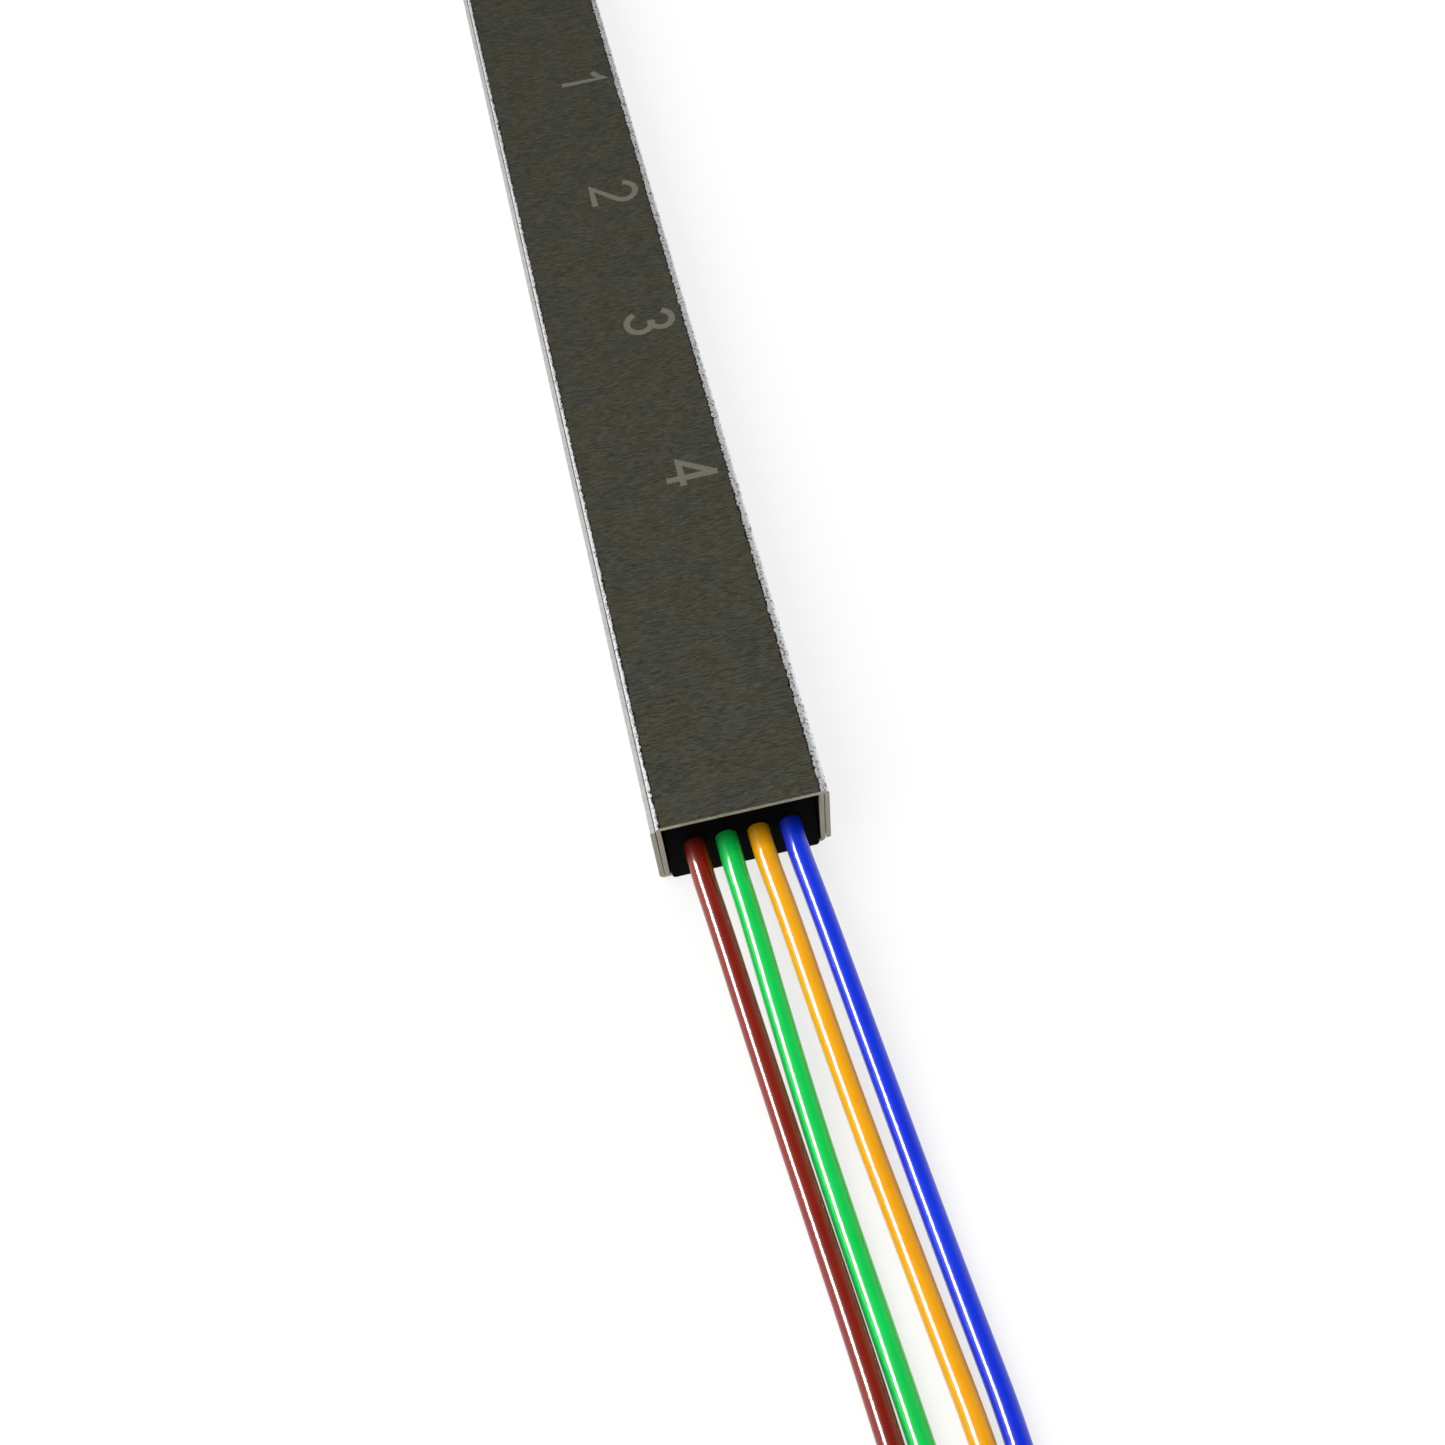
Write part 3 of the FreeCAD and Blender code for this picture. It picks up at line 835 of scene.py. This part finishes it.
@dataclass
class PortNumbers:
    """The port numbers on the cover, as the thin layer that a marking laser leaves on the steel."""

    height: float = 2.1  # between the middles of the lowest and highest stroke
    stroke: float = 0.3
    layer: float = 0.0015
    layer_step: float = 0.0004  # by which a number's next stroke stands over its last
    sharpest: float = 0.55  # least share by which a bend in a stroke may narrow it
    foot: float = 0.58  # from the housing's middle to the numbers' foot
    face: float = Housing.height
    starts: tuple[float, ...] = (14.3, 5.6, -3.4, -12.6)  # along the housing
    arc_steps: int = 18

    def arc(self, x: float, y: float, radius: float, start: float, end: float) -> list[tuple[float, float]]:
        """Points on a stroke's arc.

        Args:
            x: The middle's place to the right.
            y: The middle's height.
            radius: The arc's radius.
            start: Degrees at which it starts.
            end: Degrees at which it ends.

        Returns:
            Points (right, up).
        """
        points = []
        for k in range(self.arc_steps + 1):
            turn = math.radians(start + (end - start) * k / self.arc_steps)
            points.append((x + radius * math.cos(turn), y + radius * math.sin(turn)))
        return points

    def strokes(self) -> dict[str, list[list[tuple[float, float]]]]:
        """The strokes of each number, on a height of 2.

        Returns:
            Lines of points (right, up) by number.
        """
        return {
            "1": [[(0.12, 1.55), (0.42, 1.72), (0.62, 2.0), (0.62, 0.0)]],
            "2": [self.arc(0.6, 1.42, 0.57, 165, -38) + [(0.06, 0.0), (1.2, 0.0)]],
            "3": [self.arc(0.56, 1.51, 0.49, 158, -88), self.arc(0.58, 0.54, 0.55, 88, -158)],
            "4": [[(0.88, 1.96), (0.02, 0.58), (1.22, 0.58)], [(0.88, 0.0), (0.88, 2.0)]],
        }

    def ribbon(self, bm: BMesh, line: Sequence[tuple[float, float]], start: float, top: float) -> None:
        """Adds one stroke as a thin closed ribbon.

        Args:
            bm: The mesh that it joins.
            line: The stroke's middle line.
            start: Where the number starts along the housing.
            top: Height of the layer's top.
        """
        scale = self.height / 2
        points = [Vector((u * scale, v * scale)) for u, v in line]
        overrun = self.stroke / 4
        rings = []
        for k, point in enumerate(points):
            back = (point - points[k - 1]).normalized() if k else None
            on = (points[k + 1] - point).normalized() if k + 1 < len(points) else back
            back = back or on
            middle = (back + on).normalized()
            side = Vector((-middle.y, middle.x))
            reach = self.stroke / 2 / max(self.sharpest, middle.dot(on))
            end = -overrun if k == 0 else overrun if k + 1 == len(points) else 0.0
            ring = []
            for way, z in ((1, top), (-1, top), (-1, top - self.layer), (1, top - self.layer)):
                flat = point + way * side * reach + middle * end
                ring.append(bm.verts.new((self.foot + flat.y, start - flat.x, z)))
            rings.append(ring)
        join_rings(bm, rings)
        bm.faces.new(rings[0])
        bm.faces.new(reversed(rings[-1]))

    def build(self) -> None:
        """Marks the four numbers."""
        mark = LASER_MARK.build()
        for (text, lines), start in zip(self.strokes().items(), self.starts):
            bm = bmesh.new()
            for k, line in enumerate(lines):
                self.ribbon(bm, line, start, self.face + self.layer + self.layer_step * k)
            piece = mesh_piece(f"port_number_{text}", bm)
            dress(piece, mark)
            settle(piece, [])


@dataclass
class EndPlug:
    """The rubber block that closes one end, moulded round what leaves through it."""

    name: str
    node: str
    places: tuple[float, ...]  # of its bores across the housing
    turned: bool = False
    half_length: float = Housing.length / 2
    length: float = 6.0
    width: float = 6.0
    bottom: float = Housing.thickness
    top: float = 3.75
    corner: float = 0.15
    least_corner: float = 0.05
    corner_steps: int = 8
    side_steps: tuple[int, int] = (14, 7)  # along the wide and the tall sides
    lap: float = 0.12  # past the sheet's end, over its edge
    lap_gap: float = 0.004
    lap_depths: tuple[float, float] = (0.09, 0.1)  # behind the raked face, at the foot and the seat
    rake: float = 0.4
    rim_breaks: tuple[tuple[float, float], ...] = ((0.05, 0.0), (0.015, 0.015), (0.0, 0.05))
    inner_break: float = 0.05
    axis_height: float = 1.95
    bore: float = 0.47  # radius
    bore_break: float = 0.03
    bore_sides: int = 40
    lips: tuple[tuple[float, float], ...] = (
        (0.6, 0.0), (0.55, -0.008), (0.51, -0.03), (0.485, -0.055), (0.47, -0.03),
    )  # radius and depth of the rubber that is drawn up round each bore

    def face(self, z: float) -> float:
        """Place along the housing of the raked outer face at a height."""
        return -self.half_length - self.lap + (self.lap + self.rake) * z / self.top

    def outline(self, inset: float, bottom: float) -> list[tuple[float, float]]:
        """Points of the block's section with rounded corners.

        Args:
            inset: How far the outline is drawn in.
            bottom: Height of its lower edge.

        Returns:
            Points (x, z) in order round the section, as many at any inset.
        """
        x, low, high = self.width / 2 - inset, bottom + inset, self.top - inset
        radius = max(self.least_corner, self.corner - inset)
        middles = [(x - radius, high - radius, 0), (-x + radius, high - radius, 90)]
        middles += [(-x + radius, low + radius, 180), (x - radius, low + radius, 270)]
        points = []
        for k, (middle_x, middle_z, start) in enumerate(middles):
            for step in range(self.corner_steps + 1):
                angle = math.radians(start + step * 90 / self.corner_steps)
                points.append((middle_x + radius * math.cos(angle), middle_z + radius * math.sin(angle)))
            next_x, next_z, degrees = middles[(k + 1) % 4]
            turn = math.radians(degrees)
            goal = (next_x + radius * math.cos(turn), next_z + radius * math.sin(turn))
            last, count = points[-1], self.side_steps[k % 2]
            for step in range(1, count):
                share = step / count
                points.append((last[0] + (goal[0] - last[0]) * share, last[1] + (goal[1] - last[1]) * share))
        return points

    def ring(self, bm: BMesh, points: Sequence[Point]) -> list[BMVert]:
        """Adds a closed ring of vertices."""
        return [bm.verts.new(p) for p in points]

    def fill(self, bm: BMesh, rings: Sequence[list[BMVert]]) -> None:
        """Fills the flat face between an outer ring and the rings of its holes.

        Args:
            bm: The mesh that holds them.
            rings: The outer ring and those of the holes.
        """
        edges = []
        for ring in rings:
            for k, vert in enumerate(ring):
                after = ring[(k + 1) % len(ring)]
                edges.append(bm.edges.get((vert, after)) or bm.edges.new((vert, after)))
        bmesh.ops.triangle_fill(bm, use_beauty=True, edges=edges)

    def circle(self, x: float, radius: float, depth: float) -> list[Point]:
        """Points round a lead's axis, behind the raked face.

        Args:
            x: The axis' place across the housing.
            radius: The circle's radius.
            depth: How far it lies behind the face.

        Returns:
            Points in order round the axis.
        """
        points = []
        for k in range(self.bore_sides):
            angle = 2 * math.pi * k / self.bore_sides
            z = self.axis_height + radius * math.sin(angle)
            points.append((x + radius * math.cos(angle), self.face(z) + depth, z))
        return points

    def block(self, bm: BMesh, inner_face: float) -> list[list[BMVert]]:
        """Adds the block's rings, from its broken front rim to its back.

        Args:
            bm: The mesh that they join.
            inner_face: Place of the back along the housing.

        Returns:
            The rings in order.
        """
        rings = []
        foot, seat = self.outline(0.0, 0.0), self.outline(0.0, self.bottom)
        for inset, depth in self.rim_breaks:
            points = [(x, self.face(z) + depth, z) for x, z in self.outline(inset, 0.0)]
            rings.append(self.ring(bm, points))
        front = -self.half_length - self.lap_gap
        for outline, depth in zip((foot, seat), self.lap_depths):
            rings.append(self.ring(bm, [(x, max(front, self.face(z) + depth), z) for x, z in outline]))
        rings.append(self.ring(bm, [(x, inner_face - self.inner_break, z) for x, z in seat]))
        back = self.outline(self.inner_break, self.bottom)
        rings.append(self.ring(bm, [(x, inner_face, z) for x, z in back]))
        return rings

    def build(self) -> None:
        """Makes the block with its rounded rim, its bores and the drawn-up rubber round each."""
        bm = bmesh.new()
        inner_face = -self.half_length + self.length
        outer = self.block(bm, inner_face)
        join_rings(bm, outer)
        fronts, backs = [outer[0]], [outer[-1]]
        for x in self.places:
            bore = [self.ring(bm, self.circle(x, radius, depth)) for radius, depth in self.lips]
            for widening in (0.0, self.bore_break):
                y = inner_face - self.bore_break + widening
                around = self.circle(x, self.bore + widening, 0.0)
                bore.append(self.ring(bm, [(p[0], y, p[2]) for p in around]))
            join_rings(bm, bore)
            fronts.append(bore[0])
            backs.append(bore[-1])
        self.fill(bm, fronts)
        self.fill(bm, backs)
        if self.turned:
            bm.transform(Matrix.Rotation(math.pi, 4, "Z"))
        piece = mesh_piece(self.name, bm, sharp=40.0)
        dress(piece, BLACK_RUBBER.build())
        settle(piece, [self.node])


@dataclass
class Winding:
    """How a lead is wound: layers of side-by-side turns, each layer back over the last."""

    middle_x: float
    middle_y: float
    first_radius: float = 6.61
    pitch: float = 0.94
    columns: int = 4
    first_height: float = 0.67
    window: float = 55.0  # degrees in which a turn moves over to the next place
    first_shift: float = 255.0
    layer_turn: float = 1330.0  # degrees from one climb to the next
    points_per_turn: int = 16

    def place(self, angle: float) -> tuple[float, float]:
        """Finds where the lead is at an angle of the winding.

        Args:
            angle: Degrees from the winding's start.

        Returns:
            Radius and height.
        """
        across = (self.columns - 1) * 360
        layer, climb = 0, self.first_shift + across - self.window
        while angle >= climb + self.window:
            layer, climb = layer + 1, climb + self.layer_turn
        shift_from = climb - across + self.window
        shifts = (eased((angle - shift_from - 360 * k) / self.window) for k in range(self.columns - 1))
        moved = sum(shifts)
        column = moved if layer % 2 == 0 else self.columns - 1 - moved
        rise = eased((angle - climb) / self.window)
        return self.first_radius - self.pitch * column, self.first_height + self.pitch * (layer + rise)

    def points(self, length: float) -> list[Point]:
        """Control points of the turns, up to a length.

        Args:
            length: Length of lead to wind, in mm.

        Returns:
            Points in mm, which the lead's smooth line rounds to its radii.
        """
        step = 360 / self.points_per_turn
        grown = 1 / math.cos(math.radians(step / 2))
        angle, wound, made = step / 2, 0.0, []
        while wound < length:
            radius, height = self.place(angle)
            turn = math.radians(angle)
            x = self.middle_x + radius * grown * math.cos(turn)
            y = self.middle_y - radius * grown * math.sin(turn)
            made.append((x, y, height))
            wound += radius * math.radians(step)
            angle += step
        return made


@dataclass
class Lead:
    """One output lead: its free run over the floor and its coil, as one cord."""

    colour: LeadColour
    route: tuple[Point, ...]
    coil_middle: tuple[float, float]
    run_length: float  # mm of the route up to the first turn
    length: float = 1000.0
    diameter: float = 0.9

    def build(self, jacket: Material) -> Object:
        """Makes the cord.

        Args:
            jacket: Its material.

        Returns:
            The cord's object.
        """
        name = self.colour.value
        points = list(self.route) + Winding(*self.coil_middle).points(self.length - self.run_length)
        curve = bpy.data.curves.new(f"lead_cord_{name}", "CURVE")
        curve.dimensions = "3D"
        curve.bevel_depth = self.diameter / 2 * MM
        curve.bevel_resolution = 6
        curve.resolution_u = 6
        curve.use_fill_caps = True
        spline = curve.splines.new("NURBS")
        spline.points.add(len(points) - 1)
        for target, point in zip(spline.points, points):
            target.co = (point[0] * MM, point[1] * MM, point[2] * MM, 1.0)
        spline.order_u = 3
        spline.use_endpoint_u = True
        piece = bpy.data.objects.new(f"lead_cord_{name}", curve)
        bpy.context.scene.collection.objects.link(piece)
        dress(piece, jacket)
        settle(piece, [f"lead_{name}", f"coil_{name}"])
        return piece


LEADS = (
    Lead(
        LeadColour.BROWN,
        route=(
            (-1.905, -29.4, 1.95), (-1.905, -30.8, 1.95), (-1.68, -33.4, 1.92), (-1.37, -37.6, 1.45),
            (-1.02, -41.8, 0.75), (-0.69, -45.6, 0.47), (-0.40, -49.2, 0.46), (-0.18, -52.6, 0.46),
            (0.05, -56.4, 0.67), (0.05, -58.0, 0.67),
        ),
        coil_middle=(-6.56, -65.08),
        run_length=41.5,
    ),
    Lead(
        LeadColour.GREEN,
        route=(
            (-0.635, -29.4, 1.95), (-0.635, -30.8, 1.95), (-0.46, -33.4, 1.92), (-0.295, -37.6, 1.42),
            (-0.055, -41.8, 0.73), (0.235, -45.6, 0.47), (0.53, -49.2, 0.46), (0.79, -52.6, 0.46),
            (1.03, -56.3, 0.46), (1.09, -62.4, 0.46), (1.05, -68.4, 0.67), (1.05, -72.46, 0.67),
        ),
        coil_middle=(-5.56, -79.54),
        run_length=52.4,
    ),
    Lead(
        LeadColour.ORANGE,
        route=(
            (0.635, -29.4, 1.95), (0.635, -30.8, 1.95), (0.90, -33.4, 1.90), (1.22, -37.6, 1.40),
            (1.62, -41.8, 0.72), (2.01, -45.6, 0.47), (2.355, -49.2, 0.46), (2.71, -52.6, 0.46),
            (2.88, -57.0, 0.46), (2.83, -63.4, 0.46), (2.88, -70.6, 0.46), (2.84, -77.8, 0.46),
            (2.85, -83.0, 0.67), (2.85, -86.92, 0.67),
        ),
        coil_middle=(-3.76, -94.0),
        run_length=68.0,
    ),
    Lead(
        LeadColour.BLUE,
        route=(
            (1.905, -29.4, 1.95), (1.905, -30.8, 1.95), (2.155, -33.4, 1.92), (2.52, -37.6, 1.43),
            (2.925, -41.8, 0.73), (3.24, -45.6, 0.47), (3.54, -49.2, 0.46), (3.85, -52.6, 0.46),
            (3.89, -57.2, 0.46), (3.83, -63.8, 0.46), (3.88, -71.6, 0.46), (3.83, -79.4, 0.46),
            (3.88, -87.0, 0.46), (3.84, -93.4, 0.46), (3.85, -97.8, 0.67), (3.85, -101.38, 0.67),
        ),
        coil_middle=(-2.76, -108.46),
        run_length=82.3,
    ),
)


# Silica fused and polished: a clear, cool block with hardly any tint.
SILICA_CHIP = GrainedFinish(
    "fused_silica_chip", "#dfe6ea", 0.12, ior=1.458, second="#e8eef2", grain=0.5, clearness=0.6
)
# Silica doped to guide the light: a thin amber line, so that the branching can be followed.
DOPED_CORE = GrainedFinish("doped_silica_core", "#e9b45c", 0.2, ior=1.47, second="#f0c070", grain=0.2)
# Borosilicate glass, polished: a clear lid with a faint green tint and a sharp gloss.
GLASS_LID = GrainedFinish(
    "polished_borosilicate_lid", "#d9e4e2", 0.1, ior=1.47, second="#e2ecea", grain=0.6, clearness=0.7
)
# The same glass, ground: a frosted block.
GLASS_BLOCK = GrainedFinish(
    "ground_borosilicate_block", "#cfdad8", 0.3, ior=1.47, second="#dde6e4", grain=0.15, clearness=0.5
)
# Epoxy cured as a bead: honey-coloured and half clear.
EPOXY = GrainedFinish(
    "cured_epoxy", "#d8b672", 0.25, ior=1.55, second="#e2c484", grain=0.4, clearness=0.3, scatter=0.2
)
# Silicone cast as a pad: an even, milky white with no gloss.
SILICONE = GrainedFinish("silicone_pad", "#d9d9d4", 0.5, ior=1.41, second="#e6e6e2", grain=0.2, scatter=0.2)
# Fibre drawn through clear acrylate: pale and smooth.
CLEAR_COAT = GrainedFinish("acrylate_coat_clear", "#e8e6dc", 0.25, second="#f0eee6", grain=0.2, clearness=0.3)


@dataclass
class KeptNodes:
    """The CAD nodes that keep their shapes: the optical train, the held leads and the coils' ties."""

    finishes: dict[str, Finish] = field(
        default_factory=lambda: {
            "splitter_chip": SILICA_CHIP,
            "waveguide_tree": DOPED_CORE,
            "chip_lid_output": GLASS_LID,
            "chip_lid_input": GLASS_LID,
            "output_array_lid": GLASS_LID,
            "input_array_lid": GLASS_LID,
            "output_array_base": GLASS_BLOCK,
            "input_array_base": GLASS_BLOCK,
            "output_glue_bead": EPOXY,
            "input_glue_bead": EPOXY,
            "output_array_bed": SILICONE,
            "input_array_bed": SILICONE,
            "input_fibre": CLEAR_COAT,
        }
        | {f"fibre_{colour.value}": coat for colour, coat in FIBRE_COATS.items()}
        | {f"coil_ties_{colour.value}": TIE_FILM for colour in LeadColour}
    )

    def build(self, jackets: dict[LeadColour, Material]) -> None:
        """Gives each node its finish.

        Args:
            jackets: The leads' materials, for the stretch of each lead inside the plug.
        """
        made = {finish: finish.build() for finish in dict.fromkeys(self.finishes.values())}
        materials = {name: made[finish] for name, finish in self.finishes.items()}
        materials |= {f"held_lead_{colour.value}": jacket for colour, jacket in jackets.items()}
        for name, material in materials.items():
            dress(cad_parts[name], material)
            log.info("%s: dressed in %s", name, material.name)


@dataclass
class Studio:
    """The pale floor, the soft light and the camera."""

    camera_place: Point = (-3.24001, -60.32169, 59.68559)
    camera_aim: Point = (0.341, -24.776, 2.0)
    camera_roll: float = -7.874  # degrees
    lens: float = 41.79
    sensor: float = 36.0
    floor_size: float = 3.0  # m
    floor_colour: float = 0.8
    floor_seen: float = 0.32  # the part of the floor's white that the object can shade
    floor_glow: float = 0.72
    sky_light: float = 0.65
    sky_seen: tuple[tuple[float, float], ...] = ((0.1, 1.0), (0.5, 0.5), (0.8, 0.07), (1.0, 0.04))
    back_start: float = 0.5  # how far back a direction points where the surround starts to darken
    back_end: float = 0.8
    back_strength: float = 0.05
    lamp_aim: Point = (1.0, -42.0, 0.5)
    lamp_distance: float = 0.25  # m
    strip_radiance: float = 54.0
    strip_size: tuple[float, float] = (0.085, 0.2)  # m
    strip_direction: Point = (-0.72, 0.25, 0.63)
    panel_radiance: float = 1.75
    panel_size: tuple[float, float] = (0.26, 0.34)  # m
    panel_direction: Point = (-0.68, -0.02, 0.735)

    def camera(self) -> None:
        """Sets the camera at the product shot's angle."""
        data = bpy.data.cameras.new("product_camera")
        data.lens, data.sensor_width = self.lens, self.sensor
        data.clip_start, data.clip_end = 0.001, 10.0
        camera = bpy.data.objects.new("product_camera", data)
        place, aim = Vector(self.camera_place) * MM, Vector(self.camera_aim) * MM
        ahead = (aim - place).normalized()
        level = ahead.cross(Vector((0, 0, 1))).normalized()
        rise = level.cross(ahead)
        roll = math.radians(self.camera_roll)
        right = level * math.cos(roll) + rise * math.sin(roll)
        up = rise * math.cos(roll) - level * math.sin(roll)
        turn = Matrix((right, up, -ahead)).transposed()
        camera.matrix_world = Matrix.Translation(place) @ turn.to_4x4()
        bpy.context.scene.collection.objects.link(camera)
        bpy.context.scene.camera = camera
        log.info("camera: placed")

    def seen_directly(self, tree: NodeTree) -> NodeSocket:
        """Finds the rays from the camera, also by way of a reflection or a clear piece.

        Args:
            tree: The material's or world's node tree.

        Returns:
            1 for such a ray, and 0 for one that only brings light.
        """
        path = add_node(tree, "LightPath")
        seen = path.outputs["Is Camera Ray"]
        for kind in ("Is Glossy Ray", "Is Transmission Ray"):
            both = {0: seen, 1: path.outputs[kind]}
            seen = add_node(tree, "Math", {"operation": "MAXIMUM"}, both).outputs["Value"]
        return seen

    def floor(self) -> None:
        """Lays the pale floor, white to the camera but for the object's shadow."""
        bm = bmesh.new()
        bmesh.ops.create_grid(bm, x_segments=1, y_segments=1, size=self.floor_size / 2 / MM)
        floor = mesh_piece("studio_floor", bm)
        # Paper, rolled and matt: an even white with no gloss.
        material = bpy.data.materials.new("white_paper_floor")
        material.use_nodes = True
        tree = material.node_tree
        tree.nodes.clear()
        paper = add_node(tree, "BsdfDiffuse", {"Color": grey(self.floor_seen)})
        glow = add_node(tree, "Emission", {"Color": grey(1.0), "Strength": self.floor_glow})
        seen = add_node(tree, "AddShader", links={0: paper.outputs["BSDF"], 1: glow.outputs["Emission"]})
        lit = add_node(tree, "BsdfDiffuse", {"Color": grey(self.floor_colour)})
        parts = {0: self.seen_directly(tree), 1: lit.outputs["BSDF"], 2: seen.outputs["Shader"]}
        surface = add_node(tree, "MixShader", links=parts)
        add_node(tree, "OutputMaterial", links={"Surface": surface.outputs["Shader"]})
        dress(floor, material)

    def world(self) -> None:
        """Sets the soft surround: white walls, and a ceiling that reflects as grey."""
        world = bpy.data.worlds.new("studio_surround")
        world.use_nodes = True
        tree = world.node_tree
        tree.nodes.clear()
        lit = add_node(tree, "Background", {"Color": grey(1.0), "Strength": self.sky_light})
        direction = add_node(tree, "TexCoord").outputs["Generated"]
        towards = add_node(tree, "SeparateXYZ", links={"Vector": direction})
        stops = [(place, grey(share)) for place, share in self.sky_seen]
        shade = add_node(tree, "ValToRGB", {"stops": stops}, {"Fac": towards.outputs["Z"]})
        ends = {"From Min": self.back_start, "From Max": self.back_end}
        levels = {"To Min": 1.0, "To Max": self.back_strength}
        behind = add_node(tree, "MapRange", ends | levels, {"Value": towards.outputs["Y"]})
        both = {"Color": shade.outputs["Color"], "Strength": behind.outputs["Result"]}
        seen = add_node(tree, "Background", links=both)
        parts = {0: self.seen_directly(tree), 1: lit.outputs["Background"], 2: seen.outputs["Background"]}
        surface = add_node(tree, "MixShader", links=parts)
        add_node(tree, "OutputWorld", links={"Surface": surface.outputs["Shader"]})
        bpy.context.scene.world = world

    def lamp(self, name: str, radiance: float, size: tuple[float, float], direction: Point) -> Object:
        """Hangs a rectangular light over the left side.

        Args:
            name: The light's name.
            radiance: How bright its face is, where 1 is white.
            size: Its width and length in metres.
            direction: Where it hangs, seen from the point that the lamps face.

        Returns:
            The light's object.
        """
        data = bpy.data.lights.new(name, "AREA")
        data.shape = "RECTANGLE"
        data.size, data.size_y = size
        data.energy = radiance * math.pi * size[0] * size[1]
        light = bpy.data.objects.new(name, data)
        towards = Vector(direction).normalized()
        side = Vector((0, 1, 0)).cross(towards).normalized()
        turn = Matrix((side, towards.cross(side), towards)).transposed()
        place = Vector(self.lamp_aim) * MM + towards * self.lamp_distance
        light.matrix_world = Matrix.Translation(place) @ turn.to_4x4()
        light.visible_camera = False
        bpy.context.scene.collection.objects.link(light)
        return light

    def lamps(self, tubes: Sequence[Object]) -> None:
        """Hangs a broad panel that lights the object, and a strip that only the leads' gloss shows.

        Args:
            tubes: The leads.
        """
        panel = self.lamp("soft_panel", self.panel_radiance, self.panel_size, self.panel_direction)
        panel.visible_glossy = False
        strip = self.lamp("gloss_strip", self.strip_radiance, self.strip_size, self.strip_direction)
        strip.visible_diffuse = False
        lit = bpy.data.collections.new("glossy_tubes")
        strip.light_linking.receiver_collection = lit
        for tube in tubes:
            lit.objects.link(tube)

    def build(self, tubes: Sequence[Object]) -> None:
        """Sets the whole studio.

        Args:
            tubes: The leads, which the strip lights.
        """
        bpy.context.scene.view_settings.view_transform = "Standard"
        self.camera()
        self.floor()
        self.world()
        self.lamps(tubes)
        log.info("studio: set")


def main() -> None:
    """Builds the leads, the studio and each sub-assembly in order."""
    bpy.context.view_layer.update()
    jackets = {colour: finish.build() for colour, finish in JACKETS.items()}
    cords = [lead.build(jackets[lead.colour]) for lead in LEADS]
    Studio().build(cords)
    Housing().build()
    PortNumbers().build()
    EndPlug("output_end_plug", "output_plug", places=tuple(lead.route[0][0] for lead in LEADS)).build()
    EndPlug("input_end_plug", "input_plug", places=(0.0,), turned=True).build()
    KeptNodes().build(jackets)


if __name__ == "__main__":
    main()
